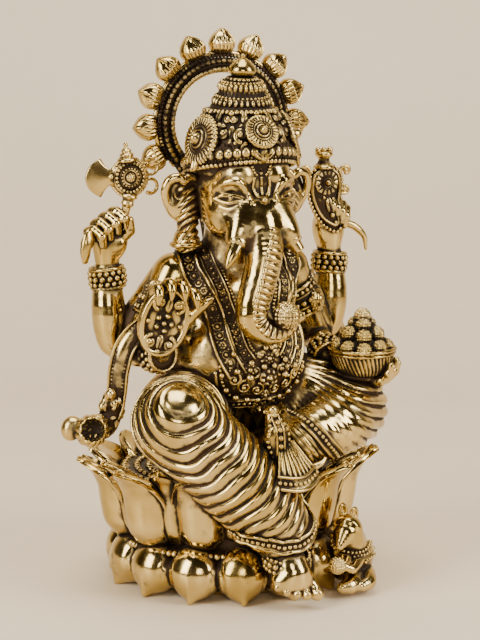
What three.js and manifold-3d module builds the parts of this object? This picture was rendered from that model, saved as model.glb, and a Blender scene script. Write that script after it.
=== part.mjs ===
// A seated, elephant-headed deity statuette in cast brass: lotus pedestal, four-armed figure, crown and halo.
// Millimetres. +Z is up, -Y is the figure's front, +X is the figure's left. The origin is under the middle
// of the base. Every casting is one named mesh; neighbours keep a braze gap of GAP between them.
import * as THREE from "three";
import { mergeVertices } from "three/addons/utils/BufferGeometryUtils.js";
import { ConvexGeometry } from "three/addons/geometries/ConvexGeometry.js";
import Module from "manifold-3d";

const wasm = await Module();
wasm.setup();

// ---------------------------------------------------------------- driving dimensions
const HEIGHT = 157; // floor to the tip of the top halo petal
const GAP = 0.36; // braze gap between two castings
const SEAT_Z = 33; // top of the lotus seat
const WAIST_Z = 13; // where the two rows of petals meet
const LOWER_R = 35.5; // tips of the lower petals, round in plan
const UPPER_X = 44; // tips of the upper petals, half width
const UPPER_Y = 38; // tips of the upper petals, half depth
const UPPER_TIP_Z = 37; // height of the upper petals' tips
const LOWER_COUNT = 14;
const LOWER_START = 8.5; // degrees from the front to the first lower petal
const UPPER_COUNT = 11;
const UPPER_START = -2; // degrees from the front to the first upper petal
const HALO_Y = 4.3; // plane of the halo ring
const HALO_RX = 17; // middle of the ring's band, half width
const HALO_RZ = 16.2; // middle of the ring's band, half height
const HALO_REACH = 10.2; // from the middle of the band to a petal's tip
const HALO_Z = HEIGHT - HALO_RZ - HALO_REACH; // centre of the halo ring
const HALO_PETALS = 11;
const HALO_PITCH = 23; // degrees from one halo petal to the next
const HALO_SWEEP = 128; // degrees from the top of the ring to each end
const LIMB_SIDES = 7;
const FACET_TOLERANCE = 0.17; // facets flatter than this are merged before a piece is cut; under half of GAP
const CUT_TOLERANCE = 0.08; // the same for what a cut leaves
const PETAL_TOLERANCE = 0.7; // the same for the rows of petals

const at = (x, y, z) => new THREE.Vector3(x, y, z);
const mirrored = (v) => at(-v.x, v.y, v.z);

// The figure's skeleton. "right" and "left" are the figure's own, so right is -X.
const BELLY = at(0, -4, 66);
const CHEST = at(0, -3, 84);
const HEAD = at(0, -8, 114);
const RIGHT_KNEE = at(-25.3, -21, 51.2);
const RIGHT_SHIN_END = at(0.6, -33.6, 21);
const RIGHT_ANKLE = at(1, -35.2, 15);
const LEFT_KNEE = at(32, -13, 49);
const LEFT_SHIN_END = at(11, -27, 45);
const SHOULDER = at(17, -2, 89);
const REAR_ELBOW = at(32.5, 4.5, 70);
const REAR_WRIST = at(35, 5, 91);
const REAR_HAND = at(34.6, 4.5, 101);
const FRONT_ELBOW_R = at(-29.5, -2, 69);
const FRONT_WRIST_R = at(-27, -12, 69.5);
const PALM_R = at(-26.5, -14.5, 79);
const FRONT_ELBOW_L = at(28.5, 1, 68);
const FRONT_WRIST_L = at(27, -8, 64.5);
const BOWL = at(34.4, -17, 58.6);
const AXE_HUB = at(-30.6, 2, 119);
const NOOSE = at(30, 2, 109.5);
const MOUSE = at(21.6, -29, 1);

// ---------------------------------------------------------------- solid helpers
function solid(geometry) {
  const bare = geometry.index ? geometry.toNonIndexed() : geometry.clone();
  bare.deleteAttribute("normal");
  bare.deleteAttribute("uv");
  const merged = mergeVertices(bare, 1e-4);
  return new wasm.Manifold(
    new wasm.Mesh({
      numProp: 3,
      vertProperties: new Float32Array(merged.attributes.position.array),
      triVerts: new Uint32Array(merged.index.array),
    }),
  );
}

function toGeometry(manifold) {
  const mesh = manifold.getMesh();
  const geometry = new THREE.BufferGeometry();
  geometry.setAttribute("position", new THREE.BufferAttribute(mesh.vertProperties, mesh.numProp));
  geometry.setIndex(new THREE.BufferAttribute(mesh.triVerts, 1));
  geometry.computeVertexNormals();
  return geometry;
}

const join = (parts) => parts.reduce((whole, part) => whole.add(part));

// Turns about X, then Y, then Z, in degrees, then moves to a place.
function pose(geometry, place, turn = [0, 0, 0]) {
  const [x, y, z] = turn.map(THREE.MathUtils.degToRad);
  const rotation = new THREE.Matrix4().makeRotationFromEuler(new THREE.Euler(x, y, z, "ZYX"));
  return geometry.applyMatrix4(rotation).translate(place.x, place.y, place.z);
}

function ball(place, radii, grow = 0, turn = [0, 0, 0], detail = [9, 6]) {
  const [rx, ry, rz] = radii;
  const geometry = new THREE.SphereGeometry(1, ...detail).rotateX(Math.PI / 2);
  return solid(pose(geometry.scale(rx + grow, ry + grow, rz + grow), place, turn));
}

// A closed, round-ended sweep through points. Each section is an ellipse: radii[i] is one number, or
// [across, along up]. up fixes how the section is turned, and cap how far the ends stand out.
function limb(points, radii, grow = 0, { up = at(0, 0, 1), sides = LIMB_SIDES, steps = 2, cap = 1 } = {}) {
  const curve = new THREE.CatmullRomCurve3(points, false, "centripetal");
  const last = points.length - 1;
  const rings = last * steps;
  const position = [];
  const pair = (r) => (Array.isArray(r) ? r : [r, r]);
  const section = (t, shrink, shift) => {
    const slot = Math.min(Math.floor(t * last), last - 1);
    const share = t * last - slot;
    const [a0, b0] = pair(radii[slot]);
    const [a1, b1] = pair(radii[slot + 1]);
    const tangent = curve.getTangent(t);
    const side = new THREE.Vector3().crossVectors(tangent, up).normalize();
    const lift = new THREE.Vector3().crossVectors(side, tangent).normalize();
    const a = (THREE.MathUtils.lerp(a0, a1, share) + grow) * shrink;
    const b = (THREE.MathUtils.lerp(b0, b1, share) + grow) * shrink;
    const middle = curve.getPoint(t).addScaledVector(tangent, shift);
    for (let k = 0; k < sides; k++) {
      const angle = (2 * Math.PI * k) / sides;
      const p = middle
        .clone()
        .addScaledVector(side, a * Math.cos(angle))
        .addScaledVector(lift, b * Math.sin(angle));
      position.push(p.x, p.y, p.z);
    }
  };
  const endReach = (r) => cap * Math.min(...pair(r)) + grow;
  const startReach = endReach(radii[0]);
  const stopReach = endReach(radii[last]);
  section(0, 0.72, -0.6 * startReach);
  for (let i = 0; i <= rings; i++) section(i / rings, 1, 0);
  section(1, 0.72, 0.6 * stopReach);
  const start = curve.getPoint(0).addScaledVector(curve.getTangent(0), -startReach);
  const stop = curve.getPoint(1).addScaledVector(curve.getTangent(1), stopReach);
  position.push(start.x, start.y, start.z, stop.x, stop.y, stop.z);
  const index = [];
  const ringCount = rings + 3;
  for (let r = 0; r < ringCount - 1; r++) {
    for (let k = 0; k < sides; k++) {
      const next = (k + 1) % sides;
      const [a, b, c, d] = [r * sides + k, r * sides + next, (r + 1) * sides + next, (r + 1) * sides + k];
      index.push(a, b, c, a, c, d);
    }
  }
  const startIndex = ringCount * sides;
  for (let k = 0; k < sides; k++) {
    const next = (k + 1) % sides;
    const top = (ringCount - 1) * sides;
    index.push(startIndex, next, k, startIndex + 1, top + k, top + next);
  }
  const geometry = new THREE.BufferGeometry();
  geometry.setAttribute("position", new THREE.Float32BufferAttribute(position, 3));
  geometry.setIndex(index);
  const made = solid(geometry);
  return made.volume() > 0 ? made : solid(flipped(geometry));
}

function flipped(geometry) {
  const index = geometry.index.array;
  for (let i = 0; i < index.length; i += 3) [index[i + 1], index[i + 2]] = [index[i + 2], index[i + 1]];
  return geometry;
}

// Pushes each profile point out along its own normal, so a lathed piece grows evenly.
function offsetProfile(points, grow) {
  return points.map(([r, z], i) => {
    const [r0, z0] = points[Math.max(i - 1, 0)];
    const [r1, z1] = points[Math.min(i + 1, points.length - 1)];
    const length = Math.hypot(r1 - r0, z1 - z0);
    return [Math.max(r + (grow * (z1 - z0)) / length, 0), z - (grow * (r1 - r0)) / length];
  });
}

// A solid of revolution about Z. The profile runs from the axis at the bottom to the axis at the top.
function lathe(profile, place, grow = 0, { segments = 20, turn = [0, 0, 0], stretch = [1, 1] } = {}) {
  const points = offsetProfile(profile, grow).map(([r, z]) => new THREE.Vector2(r, z));
  points[0].x = 0;
  points[points.length - 1].x = 0;
  const geometry = new THREE.LatheGeometry(points, segments).rotateX(Math.PI / 2);
  return solid(pose(geometry.scale(stretch[0], stretch[1], 1), place, turn));
}

// A band round a limb or a body: a rounded ring about Z.
function band(radius, thickness, width, place, grow = 0, options = {}) {
  const { segments = 20, turn = [0, 0, 0], stretch = [1, 1] } = options;
  const t = thickness + grow;
  const h = width / 2 + grow;
  const outline = [
    [radius - t, -h],
    [radius + 0.6 * t, -h],
    [radius + t, 0],
    [radius + 0.6 * t, h],
    [radius - t, h],
    [radius - t, -h],
  ].map(([r, z]) => new THREE.Vector2(r, z));
  const geometry = new THREE.LatheGeometry(outline, segments).rotateX(Math.PI / 2);
  return solid(pose(geometry.scale(stretch[0], stretch[1], 1), place, turn));
}

const SMALL_BALL = 2.3; // a ball under this radius inside a hull takes few facets
const SMALL_DETAIL = [4, 2];

// The convex hull of several balls, each [place, radii]: petals, the hub of a hand, a heap.
function hull(balls, grow = 0, detail = [6, 3]) {
  const points = [];
  for (const [place, radii] of balls) {
    const radius = Array.isArray(radii) ? radii : [radii, radii, radii];
    const small = Math.max(...radius) < SMALL_BALL;
    const geometry = new THREE.SphereGeometry(1, ...(small ? SMALL_DETAIL : detail));
    geometry.scale(...radius.map((r) => r + grow)).translate(place.x, place.y, place.z);
    const corners = mergeVertices(geometry.deleteAttribute("normal").deleteAttribute("uv"), 1e-3);
    const { position } = corners.attributes;
    for (let i = 0; i < position.count; i++) {
      points.push(new THREE.Vector3().fromBufferAttribute(position, i));
    }
  }
  return solid(new ConvexGeometry(points));
}

// A flat plate cut from an outline in the XZ plane, thickness along Y.
function plate(outline, thickness, place, grow = 0, turn = [0, 0, 0]) {
  const shape = new THREE.Shape(outline.map(([x, z]) => new THREE.Vector2(x, z)));
  const geometry = new THREE.ExtrudeGeometry(shape, {
    depth: thickness,
    bevelEnabled: true,
    bevelThickness: 0.3 + grow,
    bevelSize: 0.3 + grow,
    bevelSegments: 1,
  });
  geometry.translate(0, 0, -thickness / 2).rotateX(Math.PI / 2);
  return solid(pose(geometry, place, turn));
}

const ellipseAt = (angle, rx, ry, z) => at(rx * Math.sin(angle), -ry * Math.cos(angle), z);

// ---------------------------------------------------------------- pedestal
const SEAT_X = 33;
const SEAT_Y = 30;

function lotusCore(grow) {
  const profile = [
    [0, 0],
    [29, 0],
    [30, 1.2],
    [29, WAIST_Z],
    [31, SEAT_Z - 5],
    [SEAT_X, SEAT_Z - 1],
    [SEAT_X - 1, SEAT_Z],
    [0, SEAT_Z],
  ];
  return lathe(profile, at(0, 0, 0), grow, { segments: 32, stretch: [1, SEAT_Y / SEAT_X + 0.05] });
}

function lowerPetals(grow) {
  const ring = band(31, 1.6, 5, at(0, 0, WAIST_Z - 1), grow, { segments: 20 });
  const petals = [];
  for (let i = 0; i < LOWER_COUNT; i++) {
    const angle = THREE.MathUtils.degToRad(LOWER_START + (360 * i) / LOWER_COUNT);
    const shoulder = ellipseAt(angle, LOWER_R - 5.5, LOWER_R - 5.5, WAIST_Z - 3.5);
    const belly = ellipseAt(angle, LOWER_R - 5.4, LOWER_R - 5.4, 7);
    const tip = ellipseAt(angle, LOWER_R - 0.8, LOWER_R - 0.8, 1.2);
    petals.push(hull([[shoulder, 5], [belly, [7, 7, 5]], [tip, 1]], grow, [5, 3]));
  }
  return join([ring, ...petals]).simplify(PETAL_TOLERANCE);
}

function upperPetals(grow) {
  const ring = band(30.5, 1.6, 4, at(0, 0, WAIST_Z + 2), grow, { segments: 20, stretch: [1, 0.96] });
  const rows = [
    { turn: 0, reach: 1, width: 7.2 },
    { turn: 0.5, reach: 0.93, width: 5.6 },
  ];
  const petals = rows.flatMap(({ turn, reach, width }) =>
    Array.from({ length: UPPER_COUNT }, (_, i) => {
      const angle = THREE.MathUtils.degToRad(UPPER_START + (360 * (i + turn)) / UPPER_COUNT);
      const root = ellipseAt(angle, 31, 29.5, WAIST_Z + 3);
      const belly = ellipseAt(angle, reach * UPPER_X - 3.6 - width, reach * UPPER_Y - 3.6 - width, 23);
      const tip = ellipseAt(angle, reach * UPPER_X - 0.8, reach * UPPER_Y - 0.8, UPPER_TIP_Z - 1);
      return hull([[root, 2.2], [belly, [width, width, 6.5]], [tip, 0.8]], grow, [5, 3]);
    }),
  );
  return join([ring, ...petals]).simplify(PETAL_TOLERANCE);
}

// ---------------------------------------------------------------- figure
function torso(grow) {
  return join([
    ball(BELLY, [21.5, 19, 19], grow, [0, 0, 0], [14, 9]),
    hull([[CHEST, [16.5, 11.5, 11]], [at(SHOULDER.x - 3, SHOULDER.y, SHOULDER.z), 5.5],
      [at(3 - SHOULDER.x, SHOULDER.y, SHOULDER.z), 5.5]], grow, [10, 6]),
    limb([at(0, -3, 92), at(0, -6, 104)], [8.5, 8], grow),
    ball(at(0, 2, 50), [22, 17, 12], grow, [0, 0, 0], [12, 7]),
  ]);
}

function rightLeg(grow) {
  const thigh = limb([at(-11, 2, 49), at(-19, -11, 50.6), RIGHT_KNEE], [14, 13.4, 12], grow, { sides: 12 });
  const shin = limb(
    [RIGHT_KNEE, at(-14.5, -27.5, 39.5), at(-5, -31.6, 28.5), RIGHT_SHIN_END],
    [12, 12.2, 11, 9.6],
    grow,
    { sides: 12, cap: 0.4 },
  );
  return thigh.add(shin);
}

function leftLeg(grow) {
  const thigh = limb([at(11, 2, 49), at(22, -6, 51), LEFT_KNEE], [14, 14, 11.5], grow, { sides: 12 });
  const shin = limb([LEFT_KNEE, at(24, -22, 47), LEFT_SHIN_END], [11, 10, 7.5], grow, { sides: 12 });
  return thigh.add(shin);
}

function rightFoot(grow) {
  const sole = at(1.6, -38, 8);
  const toes = [-4.4, -2.1, 0.1, 2.3, 4.4].map((x, i) =>
    ball(at(x + 1.6, -41.4 + 0.4 * i, 6.4), i ? [1.15, 2, 1.3] : [1.6, 2.4, 1.7], grow, [0, 0, 0], [6, 4]),
  );
  return join([hull([[RIGHT_ANKLE, 4.6], [sole, [5.6, 3, 2.8]]], grow, [8, 5]), ...toes]);
}

function leftFoot(grow) {
  const toes = [0, 1, 2, 3].map((i) =>
    ball(at(-3.4 + 0.5 * i, -31.6, 40 - 1.9 * i), [1.9, 1.1, 1.1], grow, [0, 0, 0], [6, 4]),
  );
  return join([hull([[at(8, -27.5, 43), 4], [at(-1, -30.5, 38.5), [3.4, 2.4, 3.4]]], grow, [8, 5]), ...toes]);
}

function hem(place, radius, turn) {
  return (grow) => band(radius, 1.1, 3.4, place, grow, { turn, segments: 16 });
}

function waistBelt(grow) {
  return limb(
    [-70, -45, -20, 0, 20, 45, 70].map((a) => {
      const angle = THREE.MathUtils.degToRad(a);
      return at(22.5 * Math.sin(angle), -1 - 22.5 * Math.cos(angle), 52.5 + 0.0012 * a * a);
    }),
    Array(7).fill([2, 1]),
    grow,
    { up: at(0, -1, 0.25), steps: 1, sides: 6 },
  );
}

function bellyOrnament(grow) {
  return join([
    ball(at(0, -25.2, 60), [4.6, 2, 4.6], grow, [-8, 0, 0]),
    ball(at(-7.5, -23.6, 59), [4, 2, 3.6], grow),
    ball(at(7.5, -23.6, 59), [4, 2, 3.6], grow),
    ball(at(0, -25.4, 55), [3.4, 1.8, 3], grow),
  ]);
}

// A strap that hangs in a U over the chest and the belly and stands out from them by lift.
function garland(reach, low, width, lift) {
  return (grow) => {
    const place = (t) => {
      const x = reach * Math.cos(t);
      const z = 92 - (92 - low) * Math.sin(t) ** 0.9;
      const insideBelly = Math.max(1 - (x / 21.5) ** 2 - ((z - BELLY.z) / 19.6) ** 2, 0);
      const insideChest = Math.max(1 - (x / 18) ** 2 - ((z - CHEST.z) / 14) ** 2, 0);
      const y = Math.min(BELLY.y - 19 * Math.sqrt(insideBelly), CHEST.y - 11.5 * Math.sqrt(insideChest));
      return at(x, y - lift, z);
    };
    const turns = [4, 22, 45, 68, 90, 112, 135, 158, 176].map(THREE.MathUtils.degToRad);
    const sections = turns.map(() => [width, 1.1]);
    return limb(turns.map(place), sections, grow, { up: at(0, -1, 0), steps: 1, sides: 6 });
  };
}

function frontTassel(grow) {
  return limb([at(-1.5, -29, 53), at(-0.5, -31, 47), at(0.2, -33, 41)], [1.4, [2.9, 1.7], [1.8, 1.4]], grow);
}

function frontSashFan(grow) {
  const corners = [at(2.6, -34, 42), at(-0.5, -38, 31), at(10.5, -36, 32), at(5, -38.6, 30)];
  return hull(corners.map((corner) => [corner, 1.1]), grow);
}

// ---------------------------------------------------------------- arms
function arm(side, elbow, wrist) {
  const shoulder = side < 0 ? mirrored(SHOULDER) : SHOULDER;
  const middle = [shoulder, shoulder.clone().lerp(elbow, 0.55), elbow, elbow.clone().lerp(wrist, 0.5), wrist];
  return (grow) => limb(middle, [5.8, 5.2, 4.9, 4.6, 3.3], grow, { up: at(0, 1, 0.2), steps: 1 });
}

function fist(side) {
  return (grow) => {
    const hand = side < 0 ? mirrored(REAR_HAND) : REAR_HAND;
    const wrist = side < 0 ? mirrored(REAR_WRIST) : REAR_WRIST;
    const fingers = [0, 1, 2, 3].map((i) =>
      limb(
        [at(hand.x + side * (3.2 - 0.4 * i), hand.y - 1, hand.z + 0.6 + 1.7 * i),
          at(hand.x + side * (0.8 - 0.4 * i), hand.y - 4.6, hand.z + 1.4 + 1.7 * i),
          at(hand.x - side * (2 + 0.3 * i), hand.y - 3.6, hand.z + 1.8 + 1.6 * i)],
        [1.15, 1.1, 0.9],
        grow,
        { sides: 5, steps: 1 },
      ),
    );
    const heel = wrist.clone().add(at(0, 0, 1.5));
    const back = hand.clone().add(at(side, 0.4, 3));
    return join([hull([[heel, 3.4], [back, [4.4, 2.2, 3.6]]], grow), ...fingers]);
  };
}

function blessingHand(grow) {
  const spot = (x, y, z) => PALM_R.clone().add(at(x, y, z));
  const heel = FRONT_WRIST_R.clone().add(at(0, -0.5, 1.5));
  const palm = hull([[heel, 3.4], [PALM_R, [6.2, 2, 6]]], grow, [12, 7]);
  const fingers = [-4.4, -1.5, 1.4, 4.2].map((x, i) =>
    limb(
      [spot(x, 0, 3), spot(x * 0.9, -0.6, 6.6), spot(x * 0.8, -2.4, 9 - 0.6 * Math.abs(i - 1.4))],
      [1.5, 1.35, 1],
      grow,
      { sides: 5, steps: 1 },
    ),
  );
  const thumbLine = [spot(5, 0, -2), spot(8, -1.5, 2), spot(8.4, -2, 5)];
  const thumb = limb(thumbLine, [1.9, 1.5, 1.1], grow, { sides: 5, steps: 1 });
  return join([palm, thumb, ...fingers]);
}

function palmMedallion(grow) {
  const profile = [[0, 0], [4.4, 0], [5, 0.5], [4.4, 1], [0, 1.2]];
  return lathe(profile, PALM_R.clone().add(at(0, -1.7, -0.5)), grow, { turn: [90, 0, 0], segments: 16 });
}

function offeringHand(grow) {
  const heel = FRONT_WRIST_L.clone().add(at(0.3, -1.4, -0.4));
  const palm = hull([[heel, 3], [at(31, -14, 58), [5, 5, 2.2]]], grow, [8, 5]);
  const fingers = [-3.9, -1.4, 1.2, 3.6].map((y) => {
    const middle = [at(33, -15 + y, 57.4), at(39.6, -16.5 + y, 57.6), at(44, -17 + y * 0.9, 61.4)];
    return limb(middle, [1.5, 1.3, 1], grow, { sides: 5, steps: 1 });
  });
  return join([palm, ...fingers]);
}

// A bracelet or armlet about a line from a to b, at a share of the way along it.
function cuff(a, b, share, radius, width) {
  return (grow) => {
    const place = a.clone().lerp(b, share);
    const direction = b.clone().sub(a).normalize();
    const half = width / 2 + grow;
    const inner = radius - 1.2 - grow;
    const outer = radius + 0.7 + grow;
    const outline = [
      [inner, -half],
      [outer, -half],
      [outer + 0.5, 0],
      [outer, half],
      [inner, half],
      [inner, -half],
    ];
    const geometry = new THREE.LatheGeometry(outline.map(([r, y]) => new THREE.Vector2(r, y)), 10);
    geometry.applyQuaternion(new THREE.Quaternion().setFromUnitVectors(at(0, 1, 0), direction));
    return solid(geometry.translate(place.x, place.y, place.z));
  };
}

function armlet(side) {
  return (grow) => {
    const elbow = side < 0 ? FRONT_ELBOW_R : FRONT_ELBOW_L;
    const shoulder = side < 0 ? mirrored(SHOULDER) : SHOULDER;
    const boss = shoulder.clone().lerp(elbow, 0.5).add(at(side * 4.2, -3.7, 1.4));
    return cuff(shoulder, elbow, 0.5, 6.4, 5)(grow).add(ball(boss, [2.8, 2.8, 3.3], grow));
  };
}

// ---------------------------------------------------------------- attributes
function axe(grow) {
  const spot = (x, z) => AXE_HUB.clone().add(at(x, 0, z));
  const upright = { up: at(0, 1, 0), sides: 6 };
  const half = [[-4.4, 1], [-7, 2.6], [-8.4, 5.8], [-11.2, 3.2], [-11.9, 0]];
  const lower = half.slice(0, -1).map(([x, z]) => [x, -z]).reverse();
  const hub = [[0, -1.6], [4.4, -1.6], [5.2, 0], [4.4, 1.6], [0, 2]];
  const curl = [spot(4.4, 2), spot(7.8, 2.6), spot(7, -1.6), spot(4.6, -1.4)];
  return join([
    limb([at(-35.5, 0.5, 97), at(-33, 1, 108), AXE_HUB], [1.3, 1.3, 1.5], grow, { sides: 6 }),
    lathe(hub, AXE_HUB, grow, { turn: [90, 0, 0], segments: 16 }),
    plate([...half, ...lower], 0.9, AXE_HUB, grow),
    limb([spot(0, 4), spot(0, 8.6)], [1.9, 0.6], grow, upright),
    limb(curl, Array(4).fill(0.75), grow, upright),
  ]);
}

function noose(grow) {
  const spot = (x, y, z) => NOOSE.clone().add(at(x, y, z));
  const upright = { up: at(0, 1, 0), sides: 6 };
  const curl = [spot(4.6, 0, 3), spot(8, 0, 5), spot(7.4, 0, 1), spot(4.8, 0, -0.5)];
  return join([
    hull([[spot(-0.6, 0, 2.4), [5.8, 2, 6.2]], [spot(3.6, -0.8, -10), [1.8, 1.5, 2]]], grow, [10, 6]),
    limb([spot(-0.6, 0, 8.2), spot(0.2, 0, 11.6)], [2.4, 1.5], grow, upright),
    limb(curl, Array(4).fill(0.8), grow, upright),
  ]);
}

function sweetBowl(grow) {
  const profile = [
    [0, 0],
    [3.8, 0],
    [5.4, 1.6],
    [8.2, 4.6],
    [9.4, 8.2],
    [9.8, 9.8],
    [9, 9.8],
    [8, 6.4],
    [5, 3.4],
    [0, 2.6],
  ];
  return lathe(profile, BOWL, grow, { segments: 18 });
}

function sweetHeap(grow) {
  const spot = (x, y, z) => BOWL.clone().add(at(x, y, z));
  const core = hull([[spot(0, 0, 7.7), [6.9, 6.9, 2.4]], [spot(0, 0, 16.2), 3.6]], grow, [7, 4]);
  const rows = [
    { count: 7, radius: 6.2, z: 10.6 },
    { count: 4, radius: 3.7, z: 14.6 },
    { count: 1, radius: 0, z: 18 },
  ];
  const sweets = rows.flatMap(({ count, radius, z }) =>
    Array.from({ length: count }, (_, i) => {
      const angle = (2 * Math.PI * (i + 0.25)) / count;
      const place = spot(radius * Math.cos(angle), radius * Math.sin(angle), z);
      return ball(place, [2.5, 2.5, 2.5], grow, [0, 0, 0], [5, 4]);
    }),
  );
  return join([core, ...sweets]);
}

// ---------------------------------------------------------------- head
function head(grow) {
  return join([
    ball(HEAD, [13.6, 14.5, 14.5], grow, [0, 0, 0], [13, 8]),
    hull([[at(-6.5, -15.5, 108), 6.5], [at(6.5, -15.5, 108), 6.5], [at(0, -18, 104), 6.5]], grow),
  ]);
}

const TRUNK = [
  at(0, -19, 108),
  at(-0.4, -24, 100),
  at(-1.6, -26.5, 92),
  at(-4.2, -27.6, 85),
  at(-4.4, -28, 79.5),
  at(-0.6, -28.4, 76.2),
  at(4.4, -28.2, 75.8),
  at(8, -27.8, 78.4),
];

function trunk(grow) {
  return limb(TRUNK, [7, 6, 5, 4.4, 4, 3.5, 2.8, 2.1], grow, { up: at(1, 0, 0), steps: 2 });
}

function tusk(side, length) {
  const root = at(side * 6.6, -20.5, 103);
  const tip = root.clone().add(at(side * 0.45 * length, -1 - 0.3 * length, -0.85 * length));
  return (grow) => limb([root, tip], [1.7, 0.7], grow, { sides: 6 });
}

function ear(side) {
  const left = [
    at(12.5, -6, 115),
    at(19, -4.6, 116.2),
    at(20.4, -3.8, 111),
    at(17.6, -4.6, 104.6),
    at(14, -5.6, 101.5),
  ];
  const outline = side < 0 ? left.map(mirrored) : left;
  return (grow) => hull(outline.map((point) => [point, 1.5]), grow);
}

// ---------------------------------------------------------------- crown and halo
const CROWN = at(0, -6, 121);

function crownBand(grow) {
  return band(13.6, 1.8, 4.4, at(0, -8, 121.4), grow, { turn: [12, 0, 0], segments: 20, stretch: [1, 1.06] });
}

function crownBody(grow) {
  const profile = [
    [0, 0],
    [12.6, 0],
    [13.2, 3.5],
    [12.6, 7.4],
    [10.6, 10.6],
    [8.6, 13],
    [8, 13.8],
    [0, 13.8],
  ];
  return lathe(profile, CROWN.clone().add(at(0, -1.6, 1.6)), grow, { segments: 18, turn: [5, 0, 0] });
}

function crownTiers(grow) {
  const profile = [
    [0, 0],
    [8.2, 0],
    [8.8, 1.3],
    [8, 2.6],
    [6.4, 3],
    [7, 4.1],
    [6.4, 5.2],
    [4.6, 6],
    [3.4, 6.8],
    [0, 7],
  ];
  return lathe(profile, at(0, -8.8, 136.9), grow, { segments: 16, turn: [5, 0, 0] });
}

function crownFinial(grow) {
  const profile = [[0, 0], [2.6, 0], [3.2, 1.6], [2.8, 3.4], [1.4, 4.8], [1, 5.8], [0, 7]];
  return lathe(profile, at(0, -9.4, 143.9), grow, { segments: 14 });
}

function rosette(place, turn, radius, thick) {
  return (grow) => {
    const profile = [
      [0, 0],
      [radius, 0],
      [radius + 0.4, 0.5 * thick],
      [radius * 0.72, thick],
      [radius * 0.4, thick],
      [radius * 0.3, 1.5 * thick],
      [0, 1.7 * thick],
    ];
    return lathe(profile, place, grow, { segments: 18, turn });
  };
}

const haloSpot = (degrees, out, y = 0) => {
  const angle = THREE.MathUtils.degToRad(degrees);
  return at((HALO_RX + out) * Math.sin(angle), HALO_Y + y, HALO_Z + (HALO_RZ + out) * Math.cos(angle));
};

function haloRing(grow) {
  const points = [];
  for (let a = -HALO_SWEEP; a <= HALO_SWEEP; a += 16) points.push(haloSpot(a, 0));
  return limb(points, Array(points.length).fill([1.5, 2.6]), grow, { up: at(0.001, 1, 0), steps: 1 });
}

function haloPetals(grow) {
  const made = [];
  for (let i = 0; i < HALO_PETALS; i++) {
    const turn = (i - (HALO_PETALS - 1) / 2) * HALO_PITCH;
    const root = [haloSpot(turn, 3.3), [1.4, 1, 1.4]];
    const bud = [haloSpot(turn, 5.6), [3.1, 1.7, 3.1]];
    const tip = [haloSpot(turn, HALO_REACH - 0.6), 0.6];
    made.push(hull([root, bud, tip], grow, [5, 3]));
  }
  const rim = [];
  for (let a = 8 - HALO_SWEEP; a <= HALO_SWEEP - 8; a += 15) rim.push(haloSpot(a, 3.4));
  const strip = limb(rim, Array(rim.length).fill(0.8), grow, { up: at(0.001, 1, 0), steps: 1, sides: 6 });
  return join([strip, ...made]);
}

function haloStem(grow) {
  const prong = (side) =>
    limb(
      [
        at(side * 12.5, HALO_Y, HALO_Z - 10.5),
        at(side * 8, HALO_Y + 1.5, HALO_Z - 19),
        at(side * 4, HALO_Y + 1, 100),
        at(side * 3, HALO_Y - 1, 92),
      ],
      [2.4, 3, 3.2, 2.6],
      grow,
      { sides: 6 },
    );
  const web = [[at(-8, HALO_Y + 1, 113), 2], [at(8, HALO_Y + 1, 113), 2], [at(0, HALO_Y, 98), 3]];
  return join([prong(-1), prong(1), hull(web, grow)]);
}

// ---------------------------------------------------------------- shawl and mouse
function rightShawl(grow) {
  const ribbon = limb(
    [
      at(-23, -7.5, 74),
      at(-29.5, -8.5, 76),
      at(-34.8, -7.5, 69.5),
      at(-36.4, -7, 58),
      at(-37, -7.5, 49.6),
      at(-41, -8, 46.6),
      at(-45.4, -8.5, 49),
    ],
    [2, [3, 1.6], [3.2, 1.7], [3.3, 2], [3.8, 2.8], 3.8, 4.2],
    grow,
    { up: at(0, 1, 0.1) },
  );
  return ribbon.add(ball(at(-50.6, -8, 49.8), [3, 3, 3.4], grow));
}

function leftShawl(grow) {
  const middle = [at(25, 3, 75), at(33, 5, 76), at(38, 6, 68), at(40, 6, 57), at(41, 5, 47), at(44, 1, 43.6)];
  const radii = [2, [3, 1.5], [3.2, 1.6], [3.2, 1.9], [3.4, 2.4], 2.7];
  return limb(middle, radii, grow, { up: at(0, 1, 0.1) });
}

function mouse(grow) {
  const spot = (x, y, z) => MOUSE.clone().add(at(x, y, z));
  return join([
    ball(spot(2, 0.5, 8.4), [6.6, 6, 7.2], grow, [0, -14, 0]),
    limb([spot(1.2, -0.6, 14.4), spot(-1.8, -3.4, 16.4), spot(-5, -6, 13.4)], [4.4, 4, 1.5], grow),
    ball(spot(-2, 0.6, 20.6), [2, 1, 2.6], grow, [0, 20, 0], [6, 4]),
    ball(spot(3.4, -1.4, 20.2), [2, 1, 2.6], grow, [0, 30, 0], [6, 4]),
    limb([spot(1, -3.6, 10), spot(-3, -7, 9.6)], [1.7, 1.2], grow, { sides: 6 }),
    ball(spot(-1, -4, 3.4), [3.4, 4, 2.7], grow, [0, 0, 0], [7, 5]),
  ]);
}

function mouseTail(grow) {
  const middle = [at(7, 4.4, 3.6), at(11, 6.4, 3), at(12.6, 9.6, 6)].map((p) => MOUSE.clone().add(p));
  return limb(middle, [1, 0.9, 0.6], grow, { sides: 6 });
}

const heldSweet = (place, radius) => (grow) =>
  ball(place, [radius, radius, radius], grow, [0, 0, 0], [10, 7]);

// ---------------------------------------------------------------- materials
const brass = (name, colour, roughness) =>
  Object.assign(new THREE.MeshStandardMaterial({ color: colour, roughness, metalness: 1 }), { name });
const POLISHED = brass("polished_brass", 0xc79a45, 0.22);
const ANTIQUE = brass("antique_brass", 0x8d7444, 0.38);
const DARK = brass("dark_brass", 0x4a4034, 0.45);

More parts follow.
